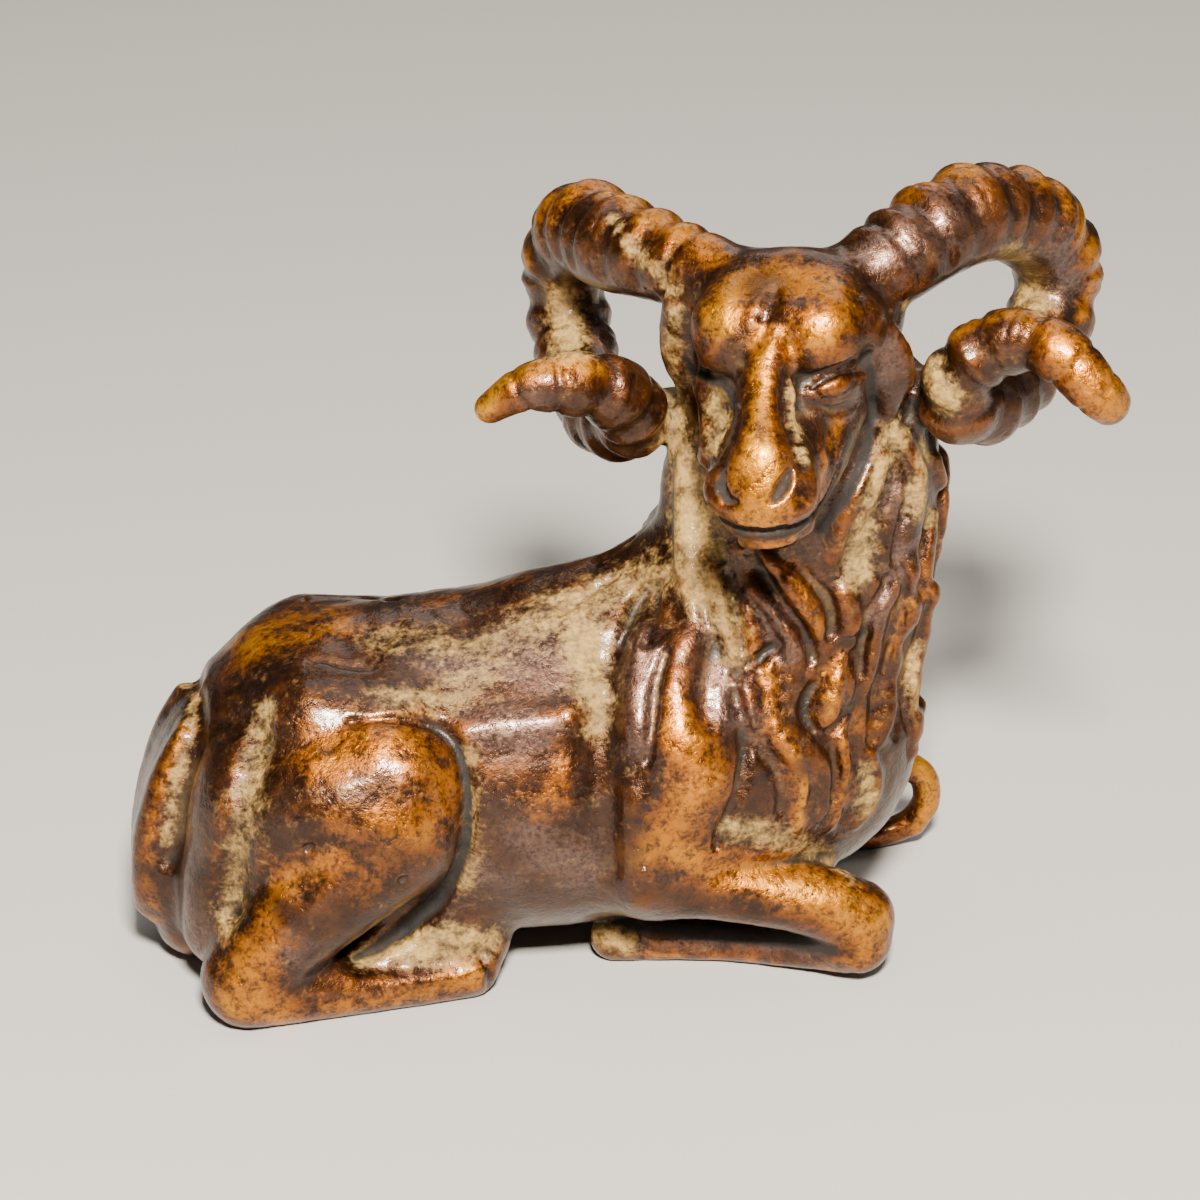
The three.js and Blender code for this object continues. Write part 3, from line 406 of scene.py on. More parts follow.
def drawn(field, strokes, sink, blend, cut=False, sides=NEAR):
    """Lays a set of strokes on the form, each on one or both sides of the body."""
    for side in sides:
        for stroke in strokes:
            route = laid(field, stroke, sink, side=side)
            if len(route):
                field.limb(route, blend, cut=cut, reach=2.0)


# The face, first on the left of the sight and then on its right where there are two
BROW_VALLEY = [
    [[17.4, 31, 0.5], [16.8, 29, 0.9], [16, 27, 1], [14.8, 25.2, 0.9], [13.8, 23.4, 0.6]],
    [[18.4, 27, 0.4], [19, 25.4, 0.6], [19.4, 23.6, 0.6]],
]
BROW_WRINKLES = [
    [[10.8, 24.2, 0.4], [12.6, 26.4, 0.5], [15.2, 28, 0.4]],
    [[12.8, 24.2, 0.4], [13.8, 25.8, 0.5], [15.6, 27.2, 0.4]],
]
SOCKETS = [
    [[8.5, 24.6, 0.5], [9.5, 23, 0.8], [11.2, 22, 0.9], [12.8, 21.6, 0.8], [13.5, 20, 0.6]],
    [[19.4, 22.6, 0.6], [21, 21.6, 1.2], [23.4, 21.8, 1.6], [25.4, 22.8, 1.4], [26.8, 24.4, 1.1]],
]
NOSE_HOLLOWS = [
    [[13.3, 22.4, 0.5], [13.5, 19, 0.6], [13.1, 16, 0.55], [12, 13.8, 0.4]],
    [[18.8, 22.4, 0.9], [19.2, 19, 1.3], [19.7, 16, 1.2], [20.5, 13.6, 0.8], [21, 12.4, 0.4]],
]
CHEEK_RIDGES = [
    [[10.2, 21.4, 0.9], [11.3, 19.6, 1.5], [11.6, 17, 1.5], [10.8, 14.4, 1]],
    [[21.2, 21.4, 0.6], [21.1, 18.6, 1], [21.3, 16, 0.9], [22, 13.6, 0.6]],
]
EYES = [
    [[9.8, 22.2, 0.4], [10.5, 22, 0.6], [11.2, 21.8, 0.4]],
    [[22, 21, 0.8], [23.2, 21.4, 1.5], [24.8, 22.1, 0.9]],
]
LIDS = [
    [[21, 21.2, 0.3], [22.2, 22.6, 0.4], [23.8, 23.3, 0.42], [25.8, 23.6, 0.3]],
    [[21.2, 20.6, 0.28], [22.8, 19.8, 0.36], [24.6, 20.3, 0.36], [25.9, 22, 0.28]],
    [[21.6, 18.8, 0.25], [23.4, 18.1, 0.3], [25.4, 19, 0.25]],
]
EYE_CREASES = [
    [[21.2, 21.2, 0.25], [22.2, 21.9, 0.25], [23.8, 22.6, 0.25], [25.6, 22.9, 0.25]],
    [[21.8, 20.4, 0.2], [23.2, 20.2, 0.2], [24.6, 20.8, 0.2], [25.6, 22, 0.22]],
    [[26.3, 23.4, 0.8], [26.8, 24.6, 0.8]],
]
NOSTRIL_WINGS = [
    [[12.2, 13.2, 0.5], [11.4, 11.6, 1], [11.7, 10, 1], [12.8, 9.2, 0.6]],
    [[19.9, 13.2, 0.5], [20.6, 11.6, 1.1], [20.5, 9.8, 1], [19.2, 8.8, 0.6]],
]
NOSTRILS = [
    [[12.4, 12.6, 0.35], [12.2, 11.2, 0.55], [12.9, 10, 0.5], [13.7, 9.8, 0.3]],
    [[19, 13, 0.4], [18.4, 11.6, 0.75], [17.7, 10.4, 0.65], [17, 9.8, 0.3]],
]
MOUTH = [
    [[12, 8.2, 0.3], [13.4, 7.4, 0.45], [15, 7, 0.6], [17.5, 7, 0.6], [20, 7.6, 0.5], [21.9, 9.2, 0.45],
     [23.2, 11.6, 0.35], [23.8, 13.4, 0.25]],
]
LOWER_LIP = [
    [[12.4, 6.8, 0.4], [14, 6, 0.6], [16.5, 5.8, 0.7], [19, 6.3, 0.6], [21.4, 7.8, 0.5], [23.2, 10.2, 0.3]],
]
CHIN = [[[14, 5, 1], [16.5, 4.8, 1.4], [18.6, 5.4, 1]]]


def face(field):
    drawn(field, BROW_VALLEY, -0.5, 1, cut=True)
    drawn(field, SOCKETS, -0.3, 0.6, cut=True)
    drawn(field, BROW_WRINKLES, 0.6, 0.4)
    drawn(field, CHEEK_RIDGES, 0.75, 1.2)
    drawn(field, NOSE_HOLLOWS, -0.45, 0.9, cut=True)
    drawn(field, EYES, -0.1, 0.3)
    drawn(field, LIDS, -0.1, 0.3)
    drawn(field, EYE_CREASES, 0.1, 0.15, cut=True)
    drawn(field, NOSTRIL_WINGS, 0.65, 0.8)
    drawn(field, NOSTRILS, 0, 0.3, cut=True)
    drawn(field, CHIN, 0.7, 0.8)
    drawn(field, LOWER_LIP, 0.35, 0.4)
    drawn(field, MOUTH, 0.45, 0.2, cut=True)


# Wavy locks of the beard and the mane, each drawn from its root to its tip
LOCKS = [
    [[8.6, 15, 0.8], [8.6, 12, 1.2], [8.8, 8, 1.4], [9, 4.6, 1.6], [9.2, 1.2, 1.5], [9.4, -1.6, 0.8]],
    [[11.2, 4, 1.2], [12.2, 0, 1.3], [13, -4, 1.2], [13.5, -6.6, 0.6]],
    [[28, 15, 0.9], [26.8, 12, 1.6], [25, 9, 1.8], [23.8, 6, 1.3], [23, 4, 0.6]],
    [[30.5, 13, 0.8], [29.4, 9, 1.2], [28.4, 5, 1.2], [27.4, 1.5, 1], [26.6, -1, 0.5]],
    [[15.6, 1.2, 1], [17.8, -1.2, 1.2], [19.2, -4, 1.3], [19.1, -7, 1.2], [18.6, -10, 1.1], [19, -13, 1],
     [20.4, -14.6, 1], [21.9, -16.2, 1], [22.6, -18.4, 0.9], [22.2, -20.6, 0.7], [21, -22.6, 0.4]],
    [[24.2, 1.2, 1], [24.9, -1.4, 1.5], [24.9, -3.4, 1.3], [23.6, -5, 0.7]],
    [[16.4, 4.4, 0.6], [18.2, 2.6, 1.3], [19.8, 0.6, 1.7], [21.1, -1.4, 1.6], [21.8, -3.2, 1.1],
     [21.7, -4.6, 0.5]],
    [[23.4, -4, 0.7], [22.6, -5.6, 0.9], [21.4, -7.4, 0.8], [20, -8.8, 0.4]],
    [[24.2, -6, 1], [23.7, -8, 1.8], [23, -10.2, 1.9], [22.3, -11.8, 1.3], [21.9, -12.8, 0.5]],
    [[31.6, 8.5, 0.7], [30.8, 5, 1], [29.5, 2, 1.1], [28, -0.4, 1.2], [27.4, -2.8, 1.1], [27, -5.4, 1],
     [26.6, -7.8, 0.8], [26.2, -9.2, 0.4]],
    [[34, 6.5, 0.6], [33.6, 3.4, 0.9], [32.4, 0.8, 0.9], [30.5, -0.8, 0.9], [29.6, -2.6, 0.9],
     [29.3, -4.6, 0.8],
     [28.5, -6.6, 0.4]],
    [[32.6, -7.8, 0.6], [31.8, -10.6, 0.9], [30.8, -13.4, 0.6]],
    [[29, -7.8, 0.6], [28.8, -10, 1], [28.5, -12, 0.9], [28, -14, 0.5]],
    [[15, -6.6, 1], [14.6, -9.4, 1.6], [14.6, -12, 1.5], [14.2, -13.2, 0.7]],
    [[14, 0, 0.8], [14.8, -2, 1.1], [15.2, -4, 1.1], [15, -5.6, 0.6]],
    [[17, -6, 0.7], [16.8, -9, 1.1], [17, -11.6, 1.3], [18.2, -13.8, 1.5], [19.7, -15.6, 1.5],
     [20.3, -17.4, 1.3],
     [20.2, -19.6, 1.1], [20, -21.6, 0.9], [19.7, -22.8, 0.5]],
    [[24.5, -12, 0.5], [24.1, -14.4, 0.9], [24.4, -16.6, 1], [24.6, -19, 1], [23.8, -21, 0.8],
     [22.8, -22.6, 0.5]],
    [[27, -15.5, 0.6], [27.4, -18, 0.9], [26.8, -20.5, 0.8], [25.6, -22.5, 0.4]],
    [[33.4, 14, 0.8], [34, 10.5, 1.2], [34.4, 7, 1], [34.2, 4, 0.5]],
]
LONG_LOCKS = [
    [[21, 14, 1.2], [22.5, 9, 1.8], [20.5, 3, 1.8], [22, -3, 1.5], [20.5, -9, 0.9]],
    [[22, 4, 1], [20, -1, 1.7], [21.5, -7, 1.8], [19.5, -13, 1.5], [20.5, -19, 0.9]],
]
PARTINGS = [
    [[15, 4.6, 0.4], [16.6, 2, 0.55], [18.2, -0.6, 0.6], [19.8, -2.4, 0.55], [20.8, -4.2, 0.5],
     [21.2, -5.6, 0.35]],
    [[20.4, 2.8, 0.35], [22, 1, 0.45], [23, -1, 0.45], [23, -3.4, 0.35]],
    [[25.3, -5.5, 0.35], [24.9, -9.5, 0.45], [24.4, -11.6, 0.45], [22.8, -13.2, 0.35]],
    [[22, -7.4, 0.3], [20.8, -9.4, 0.4], [20.4, -11.4, 0.4], [21.4, -13, 0.3]],
    [[26.4, -3.6, 0.4], [25, -4.4, 0.45], [23.5, -5.4, 0.4], [22.4, -6.8, 0.35]],
    [[17.8, -4.4, 0.35], [16.2, -5.6, 0.4], [14.9, -6.6, 0.4], [13.8, -7.4, 0.35]],
    [[12.8, 2.4, 0.4], [13.7, -1.4, 0.45], [14.1, -4.6, 0.4]],
    [[15, -13.3, 0.35], [16.2, -15.4, 0.45], [17.6, -17, 0.5], [18.2, -19, 0.5], [18, -21.5, 0.4]],
    [[20.6, -14.6, 0.35], [21.2, -16.8, 0.4], [21.4, -19, 0.4], [20.9, -21.4, 0.35]],
    [[23.4, -15, 0.35], [23.6, -17.5, 0.4], [23.4, -19.8, 0.35]],
    [[25.2, -13, 0.4], [25.5, -16, 0.5], [25.4, -19, 0.5], [24.4, -22, 0.4]],
    [[29.6, 4, 0.4], [28.2, 0.6, 0.45], [26.8, -1.8, 0.5], [26.2, -4.6, 0.5], [26.1, -7.4, 0.4]],
    [[31.5, -1.4, 0.6], [30.6, -3, 0.8], [30.2, -5, 0.7]],
    [[27.6, -8.6, 0.4], [27.4, -11.5, 0.45], [27.2, -14, 0.4]],
    [[30, -8, 0.4], [29.9, -11, 0.45], [29.6, -13.6, 0.4]],
    [[28, 13.4, 0.35], [26.6, 9.4, 0.5], [25.3, 6.2, 0.5], [24.6, 3.5, 0.35]],
    [[30, 9, 0.35], [29, 5.5, 0.4], [28.2, 2.5, 0.35]],
    [[32.4, 12, 0.35], [31.4, 8, 0.45], [30.6, 5, 0.4]],
    [[27.6, 24.8, 0.3], [27, 21.6, 0.4], [27.4, 18, 0.35]],
    [[31.6, 24.6, 0.3], [31.8, 21, 0.4], [30.4, 17.4, 0.35]],
]


def mane(field):
    """The locks that show are laid as drawn, and plainer ones are turned round the neck behind them."""
    drawn(field, LOCKS, 0.12, 0.7)
    drawn(field, PARTINGS, -0.4, 0.9, cut=True)
    for i in range(HIDDEN_LOCKS):
        turn = math.radians(FIRST_HIDDEN_LOCK + HIDDEN_LOCK_PITCH * i)
        lock = np.array(LONG_LOCKS[i % 2], float)
        field.limb(laid(field, lock, 0.3, turn=turn), 0.9)
        edge = lock * [1, 1, 0.32] - [1.4, 0, 0]
        field.limb(laid(field, edge, 0, turn=turn), 0.5, cut=True)


# The body: swellings of the shoulder, the flank and the rump, the soft valleys between them, and the sharp
# creases where one form lies against another
SWELLINGS = [
    [[3.8, -3.6, 0.8], [3.2, -6.5, 1.4], [3.2, -9.5, 1.5], [3.6, -12.5, 1]],
    [[9.6, -3.4, 0.7], [8.4, -5.2, 1.3], [7.7, -8.4, 1.5], [7.6, -12, 1.3]],
    [[8.4, -15, 3.4], [9.4, -18, 3.6]],
    [[-21.6, -15.6, 3.4], [-19.6, -16.6, 3.4]],
    [[3, -20, 2], [3.4, -25, 2.4], [4.5, -28, 2]],
    [[-13, -13.4, 0.4], [-10, -12.7, 0.8], [-5, -12.2, 0.9], [-1, -10.8, 0.7], [0, -8.6, 0.4]],
    [[-41, -13, 0.6], [-43.4, -18, 1.1], [-45, -24, 1.2], [-45.4, -30, 1]],
]
VALLEYS = [
    [[4.6, 0.6, 0.8], [2.8, -2.2, 1.1], [1.2, -5, 1.4], [0.4, -9, 1.6], [0, -14, 1.7],
     [0.1, -20, 1.6], [0.6, -27, 1.1]],
    [[-33.8, -11, 0.9], [-34.6, -15, 1.3], [-35.8, -20, 1.5], [-36.6, -26, 1.3], [-37, -31, 0.9]],
    [[-40.4, -10, 0.5], [-41, -15, 0.8], [-42.2, -20, 0.8], [-43.2, -26, 0.6]],
    [[11.4, -5, 0.5], [10.6, -9, 0.8], [10.8, -12, 0.6]],
    [[-24.5, -36.4, 0.4], [-20, -36.7, 0.5], [-15, -36.1, 0.5], [-11, -34.8, 0.4]],
]
CREASES = [
    [[6.8, 2.2, 0.35], [5, 1.2, 0.45], [3.8, -0.4, 0.5], [2.9, -2.2, 0.45], [2, -4.4, 0.35]],
    [[6, 1, 0.3], [5.5, -1, 0.4], [5, -2.5, 0.4], [4.4, -4.5, 0.35]],
    [[6.6, -5.4, 0.4], [5.6, -8.6, 0.55], [5.3, -12, 0.55], [4.8, -16, 0.4]],
    [[13.6, -9.4, 0.5], [14.3, -12.4, 0.7], [14.5, -15.5, 0.8], [14, -19, 0.9],
     [12.6, -22.4, 0.8], [11.7, -24.6, 0.5]],
    [[1.6, 2.4, 0.3], [-1, 0.7, 0.4], [-3.6, -1.2, 0.3]],
    [[3.6, 4.8, 0.3], [1, 3.9, 0.35], [-0.6, 3.4, 0.3]],
    [[-25, -12.2, 0.2], [-22, -12, 0.35], [-19, -12, 0.5], [-16.4, -12.8, 0.6], [-14.4, -14.6, 0.65],
     [-13.4, -18, 0.7], [-13.3, -23, 0.75], [-14.1, -26.6, 0.8], [-16, -29.8, 0.85], [-19, -32.4, 0.9],
     [-22, -34.6, 0.8], [-24.4, -35.8, 0.5]],
    [[-29.5, 0, 0.3], [-25, 0.3, 0.4], [-20.5, 0, 0.3]],
    [[-12.2, -35.4, 0.25], [-11.2, -37, 0.3], [-11, -38.8, 0.25]],
    [[4, -32.4, 0.25], [4.3, -34, 0.3], [4.4, -35.6, 0.25]],
]

# Small holes in the casting
PITS = [
    [[-29.3, -24.9, 0.45], [-28.9, -24.7, 0.45]],
    [[-19.9, -28.1, 0.4], [-19.6, -27.9, 0.4]],
    [[-33.2, -15.1, 0.4], [-32.9, -14.8, 0.4]],
]


def carving(field):
    drawn(field, SWELLINGS, 0.75, 2.6, sides=BOTH)
    drawn(field, VALLEYS, -0.5, 1.8, cut=True, sides=BOTH)
    drawn(field, CREASES, 0.1, 0.7, cut=True, sides=BOTH)
    drawn(field, PITS, 0, 0.3, cut=True)


def surface(field):
    """Points and quads of the surface: one point in each cell that it passes through."""
    value = np.where(np.abs(field.value) < NEARLY_ZERO, NEARLY_ZERO, field.value)
    inside = value < 0
    corners = list(np.ndindex(2, 2, 2))
    size = np.array(value.shape) - 1
    shifted = [tuple(slice(d, d + n) for d, n in zip(corner, size)) for corner in corners]
    filled = sum(inside[s].astype(np.int8) for s in shifted)
    mixed = (filled > 0) & (filled < 8)
    cells = np.argwhere(mixed)
    number = np.full(size, -1, np.int32)
    number[mixed] = np.arange(len(cells))
    total = np.zeros((len(cells), 3))
    hits = np.zeros(len(cells))
    for corner in corners:
        for axis in range(3):
            if corner[axis]:
                continue
            other = np.array(corner)
            other[axis] = 1
            a = value[tuple((cells + corner).T)]
            b = value[tuple((cells + other).T)]
            crossed = (a < 0) != (b < 0)
            share = np.where(crossed, a / np.where(crossed, a - b, 1), 0)
            place = np.array(corner) + share[:, None] * np.eye(3)[axis]
            total += np.where(crossed[:, None], place, 0)
            hits += crossed
    points = LOW + SAMPLE_STEP * (cells + total / hits[:, None])
    quads = []
    for axis in range(3):
        u, v = (axis + 1) % 3, (axis + 2) % 3
        low = [slice(None)] * 3
        high = [slice(None)] * 3
        low[axis], high[axis] = slice(None, -1), slice(1, None)
        for leaving in (False, True):
            edges = np.argwhere(inside[tuple(low)] & ~inside[tuple(high)] if leaving
                                else ~inside[tuple(low)] & inside[tuple(high)])
            edges = edges[(edges[:, u] > 0) & (edges[:, v] > 0)]
            ring = []
            for du, dv in ((0, 0), (-1, 0), (-1, -1), (0, -1)):
                cell = edges.copy()
                cell[:, u] += du
                cell[:, v] += dv
                ring.append(number[tuple(cell.T)])
            ring = np.stack(ring, 1)
            quads.append(ring if leaving else ring[:, ::-1])
    return points, np.concatenate(quads)


def blurred(grid, radius):
    """Mean of a grid over a cube round each sample, done twice over to round the cube off."""
    cells = max(1, round(radius / SAMPLE_STEP / 1.7))
    for axis in range(3):
        for _ in range(2):
            pad = [(cells + 1, cells) if c == axis else (0, 0) for c in range(3)]
            total = np.cumsum(np.pad(grid, pad, mode="edge"), axis=axis, dtype=np.float32)
            upper = [slice(2 * cells + 1, None) if c == axis else slice(None) for c in range(3)]
            lower = [slice(None, -2 * cells - 1) if c == axis else slice(None) for c in range(3)]
            grid = (total[tuple(upper)] - total[tuple(lower)]) / (2 * cells + 1)
    return grid


def zone(field, points, strokes, pieces=3):
    """How strongly each point lies in a painted zone, whose strokes have stations as a lock has."""
    strength = np.zeros(len(points))
    for sides, stroke, most in strokes:
        for side in sides:
            for station in laid(field, stroke, 0, side=side, pieces=pieces, jump=math.inf):
                away = np.linalg.norm(points - station[:3], axis=1) / station[3]
                strength = np.maximum(strength, most * np.exp(-away * away))
    return strength


def brushed(sides, strokes):
    """A zone's strokes, with the sides that they lie on and their strength, which is full unless given."""
    pairs = (stroke if isinstance(stroke, tuple) else (stroke, 1) for stroke in strokes)
    return [(sides, *pair) for pair in pairs]


# Where khaki dust lies
DUST = brushed(NEAR, [
    [[7, 26, 1.4], [6.8, 21, 2], [7, 17, 2.6], [8.4, 13, 3.4], [9, 8, 3.6], [8.4, 3, 3.6]],
    [[9, 2, 2.6], [12, -1, 2.2], [13.4, -5.6, 1.8]],
    ([[6, 2, 3.2], [2, 1, 3.4], [-3, -0.6, 3.2]], 0.85),
    ([[-3, -0.6, 3.4], [-7, -2.6, 3.4], [-11, -4.6, 3.2], [-16, -4.4, 2.6]], 0.66),
    [[-2, -4, 2.8], [-1, -8, 2.2], [-0.4, -12, 2]],
    ([[-12, -8, 2.2], [-17, -9.6, 2], [-22, -10, 1.6]], 0.66),
    ([[-23, -4.4, 2], [-20, -4, 2.2]], 0.66),
    [[-1.4, -32.8, 1.8], [2.4, -34, 1.8]],
    [[12.6, -22.8, 1.4], [16, -23.2, 1.7], [20, -24.4, 1.7], [23.6, -26.6, 1.4], [25.2, -28, 1]],
    [[11.4, 21.6, 1.3], [12, 18.6, 1.5], [11.4, 15.4, 1.3]],
    [[19.2, 21.4, 0.9], [19.6, 17.4, 1], [20.4, 14, 0.8]],
    [[30, 17, 1.8], [28, 12, 1.6], [26, 6, 2], [25.6, 2.6, 1.8]],
    [[32.6, 15, 1.6], [31.6, 10, 1.4], [33.6, 8, 1.2]],
    [[31, -5.4, 1.4], [31.6, -10, 1.2]],
    [[26.6, -17, 1.2], [27, -21, 1.6]],
    [[-4, 31, 1.6], [-3.4, 28, 2.2], [-3, 24.6, 2.4]],
    [[1.4, 38, 0.8], [3.4, 35, 1.1], [6.6, 32, 1.3], [7.4, 28, 1]],
    [[40.8, 35, 1.6], [42.6, 31.6, 2.4], [43.8, 28.8, 1.6]],
    [[30.4, 29.4, 0.9], [31.8, 26.4, 1], [33, 23, 1.6], [34.2, 20, 2.2]],
]) + brushed(BOTH, [
    [[-13, -15, 0.9], [-12.7, -19, 1.1], [-12.8, -24, 1.2], [-13.6, -28, 1.6]],
    ([[-33, -11, 1.6], [-33.6, -15, 2.4], [-34.6, -20, 2.3], [-36.2, -27, 1.9], [-37.2, -33, 1.8]], 0.8),
    [[-40.4, -10, 0.8], [-41.3, -14, 1], [-42.6, -19, 1], [-43.4, -24, 0.7]],
    [[-24, -36, 1.4], [-20, -35, 2], [-15, -34.4, 2.4], [-11.6, -34.4, 2.2]],
])

# Where the lacquer is rubbed to amber
AMBER = brushed(NEAR, [
    [[11.8, 28, 3], [13.6, 31.6, 3.2], [19, 32, 3.4], [23, 31, 3.2], [22.6, 27.4, 3], [19, 26, 2.2]],
    [[16.2, 26, 2], [16, 20, 1.8], [15.9, 15, 2.4], [15.8, 11, 4.2], [16, 7.6, 3.8]],
    ([[14, 5.6, 1.2], [18, 5.6, 1.4], [21.6, 8.4, 1.2]], 0.9),
    ([[24, 18, 1.2], [22.6, 14, 1.4], [22, 11, 1.4]], 0.8),
    ([[18.6, 3.2, 1.4], [20.4, 0.4, 1.9], [21.8, -3, 1.2]], 0.66),
    ([[23.8, -6.8, 2], [22.6, -11, 2]], 0.7),
    ([[16.9, -7, 1.6], [17.2, -12, 2.2], [19.6, -15.4, 2.2], [20.2, -19, 1.8], [19.8, -22.4, 1.4]], 0.74),
    ([[24.4, -13, 1.5], [24.6, -18, 1.6], [23.4, -22, 1.4]], 0.65),
    ([[28.8, -8.6, 1.6], [28, -12.4, 2], [25.6, -12, 1.6]], 0.65),
    ([[34, 6, 1.3], [32, 0.6, 1.5], [29.6, -2.6, 1.3], [29, -5.4, 1.1]], 0.7),
    ([[14.2, -0.6, 1.2], [15, -4.6, 1.4]], 0.6),
    ([[28, -35, 2.8], [23, -37, 1.8], [15, -36, 1.4], [5, -35.6, 1.4]], 0.75),
    [[-6, 39, 1.8], [-3, 41, 2.4], [2, 40.6, 3], [7, 38, 2.8], [11, 35.6, 1.8]],
    [[-12.4, 19, 2.2], [-9, 22.4, 1.9], [-4, 23.8, 1.6], [0, 23, 1.2]],
    [[-7.4, 34, 1.4], [-7.4, 37, 1.8], [-4, 40, 2]],
    [[4, 38.2, 1.6], [8, 36.4, 1.8], [12, 34.2, 1.6]],
    [[48, 38.6, 2], [49.6, 33, 2], [48.4, 29, 1.6]],
    [[34.6, 26, 1.2], [38, 28, 1.6], [41.6, 28.6, 1.4]],
    [[26.6, 38.6, 2], [31, 41, 2.2], [36, 43, 2.4], [41, 43.8, 2.4], [46, 41, 2.2], [49, 35, 1.8]],
    [[40, 28.8, 1.1], [44.8, 27, 2.4], [48.6, 23, 3.4], [51.4, 19.4, 3.6]],
    ([[-18, -1, 1.2], [-13, 1, 1.8], [-8, 2, 1.6]], 0.6),
    [[32, -15.6, 2], [33.6, -19, 2.6], [32, -22.6, 1.8]],
    ([[-4.6, -16, 1.6], [-4.6, -20, 2.2], [-8, -20, 1.6]], 0.66),
]) + brushed(BOTH, [
    ([[7.6, -10, 1.6], [8.6, -14, 3.6], [9.6, -18, 4.4], [8, -22, 3.4], [3, -26, 2.6]], 0.88),
    [[8, -25.4, 2.4], [12, -26.6, 2.8], [18, -28, 3.2], [23, -29.4, 3.6], [27, -32.6, 4.2]],
    ([[-26, -22, 2.4], [-21, -25, 2.6], [-24, -29, 2.2]], 0.6),
    ([[-26, -2.6, 2.8], [-31, -4, 3.6], [-35, -4.6, 3.2], [-38, -2, 2]], 0.82),
    ([[-28, -9, 1.6], [-30, -12, 1.6]], 0.55),
    ([[-28, -16, 2.6], [-24, -14, 3.2], [-19, -14.6, 3.4], [-16, -18, 3.2], [-17.6, -23, 3.4],
      [-22, -22, 2.8]], 0.82),
    ([[-26, -26, 2], [-31, -28, 2.2], [-33, -32, 2.6], [-35, -37, 3.4], [-36, -40, 3.4],
      [-31, -42, 2.6]], 0.92),
    ([[-27, -41, 1.8], [-20, -40, 2], [-13, -38, 2.4]], 0.9),
    ([[-41.6, -13, 1.3], [-44, -19, 1.2], [-45.2, -26, 1.1], [-44.4, -32, 1.6]], 0.75),
])

# Where the brown has a mauve bloom, partly a painted lilac sheen of reflected light
MAUVE_AND_SHEEN = brushed(NEAR, [
    [[3.6, -4, 2.4], [3.6, -9, 2.6], [4, -14, 2.2]],
    [[11, -4, 2], [12.6, -9, 2.6], [14.6, -12, 2.4]],
    [[17, -1, 1.8], [18.6, -5, 1.6]],
    [[29.6, 11, 1.6], [30, 5, 1.4], [27.6, -2, 1.4]],
    [[27.6, 34.4, 2.2], [31.6, 36.6, 2.4], [36, 38.4, 2]],
    [[28.6, 25, 1.6], [29.4, 22, 1.8], [29, 18.6, 1.8]],
    [[5, -32.4, 1.6], [14, -33.6, 1.6], [22, -34.8, 1.2]],
    [[-9, -4, 2.4], [-5, -7, 2.4], [-16, -7, 2]],
    [[-8, 33, 1.6], [-7.4, 28, 1.8], [-6, 20, 1.6]],
    [[46.6, 36, 2.2], [46.4, 31, 2]],
]) + brushed(BOTH, [
    [[-11, -13, 2.2], [-6, -13.6, 2.2]],
    [[-10, -28, 3.6], [-8, -25, 3.6], [-3, -27, 3.6]],
    [[-41, -20, 1.8], [-41.4, -27, 2.6], [-40.4, -33, 2.6]],
    [[-31, -34.6, 2.2], [-27, -35.6, 2]],
])

# Where the lacquer stays thick and dark, and where dark brown is painted as shade under the jaw, in hollows
# and low on the body
GLAZE_AND_SHADE = brushed(NEAR, [
    [[16, 31.6, 1.6], [17, 31.4, 1.6]],
    [[-36, -20, 1], [-38.6, -16, 1.4], [-40, -24, 1.4], [-40.6, -30, 1.6]],
    ([[-31, -9.6, 1.8], [-28, -10.6, 2], [-24, -10.8, 1.6]], 0.8),
    [[0.8, -14, 1.4], [0.6, -20, 1.6], [1, -26, 1.4]],
    [[30, 22, 1.4], [29.4, 19, 1.6], [28.2, 16, 1.2]],
    [[16.4, 31.6, 2.1], [16.8, 31.3, 2.1], [17, 29.6, 1]],
    [[14.6, 27, 0.9], [13, 25.4, 0.9], [12.4, 24, 0.8]],
    # Painted shadow under the jaw
    [[27, 18, 1.1], [26, 14, 1.4], [24, 9.6, 1.3], [21, 5.8, 1]],
    [[8.4, 20, 1.2], [8.8, 16, 1.2], [10, 12.4, 1]],
    [[28, -6, 2.2], [28.6, -11, 2.4], [29.4, -17, 2.6], [27, -22, 2.2]],
    [[13.6, -14, 1.6], [15, -18, 2.2], [16, -21.4, 1.8], [22.4, -15, 1.2], [22.4, -20, 1.4]],
    [[-28, 0, 1.4], [-21, 0.6, 2], [-13, 2.4, 1.6], [-6, 3, 1.4]],
    [[-27, -6.6, 2], [-22, -7.4, 2], [-16, -9, 1.4]],
    ([[-7.6, 36, 1.4], [-6, 34, 1.4], [-6, 31, 1.4]], 0.7),
    ([[3, -28.4, 1.6], [8, -29.8, 1.6], [14, -31, 1.4], [19, -32.4, 1]], 0.7),
    [[-5, 20.4, 1.6], [-1, 19.6, 2.2], [2, 18, 2.6], [3, 15, 2]],
    ([[35, 35.6, 1.8], [38, 39, 1.6]], 0.6),
    [[35.4, 20.4, 2.6], [36.4, 23.6, 2.4], [39.4, 26, 2], [42.4, 26.4, 1.6], [40, 17.6, 2.4], [44, 20, 2]],
    [[19, -9, 1], [18.6, -12, 1], [23.4, -3, 1]],
]) + brushed(BOTH, [
    [[-32, -30.6, 1.2], [-29.6, -32.4, 2], [-26, -34, 1.8], [-29, -35.6, 1.4]],
    [[-10, -30, 3], [-5, -30.6, 3], [-11, -24, 2]],
    ([[-25, -20, 2.6], [-21, -20.6, 2.2], [-22, -25, 3], [-18, -27, 2.2], [-26, -30, 2.4]], 0.55),
    [[2.2, -20, 1.6], [3, -25, 2], [1.6, -29, 1.8]],
    [[-46.4, -22, 1.2], [-46.6, -27, 1.2], [-38, -30, 2]],
])
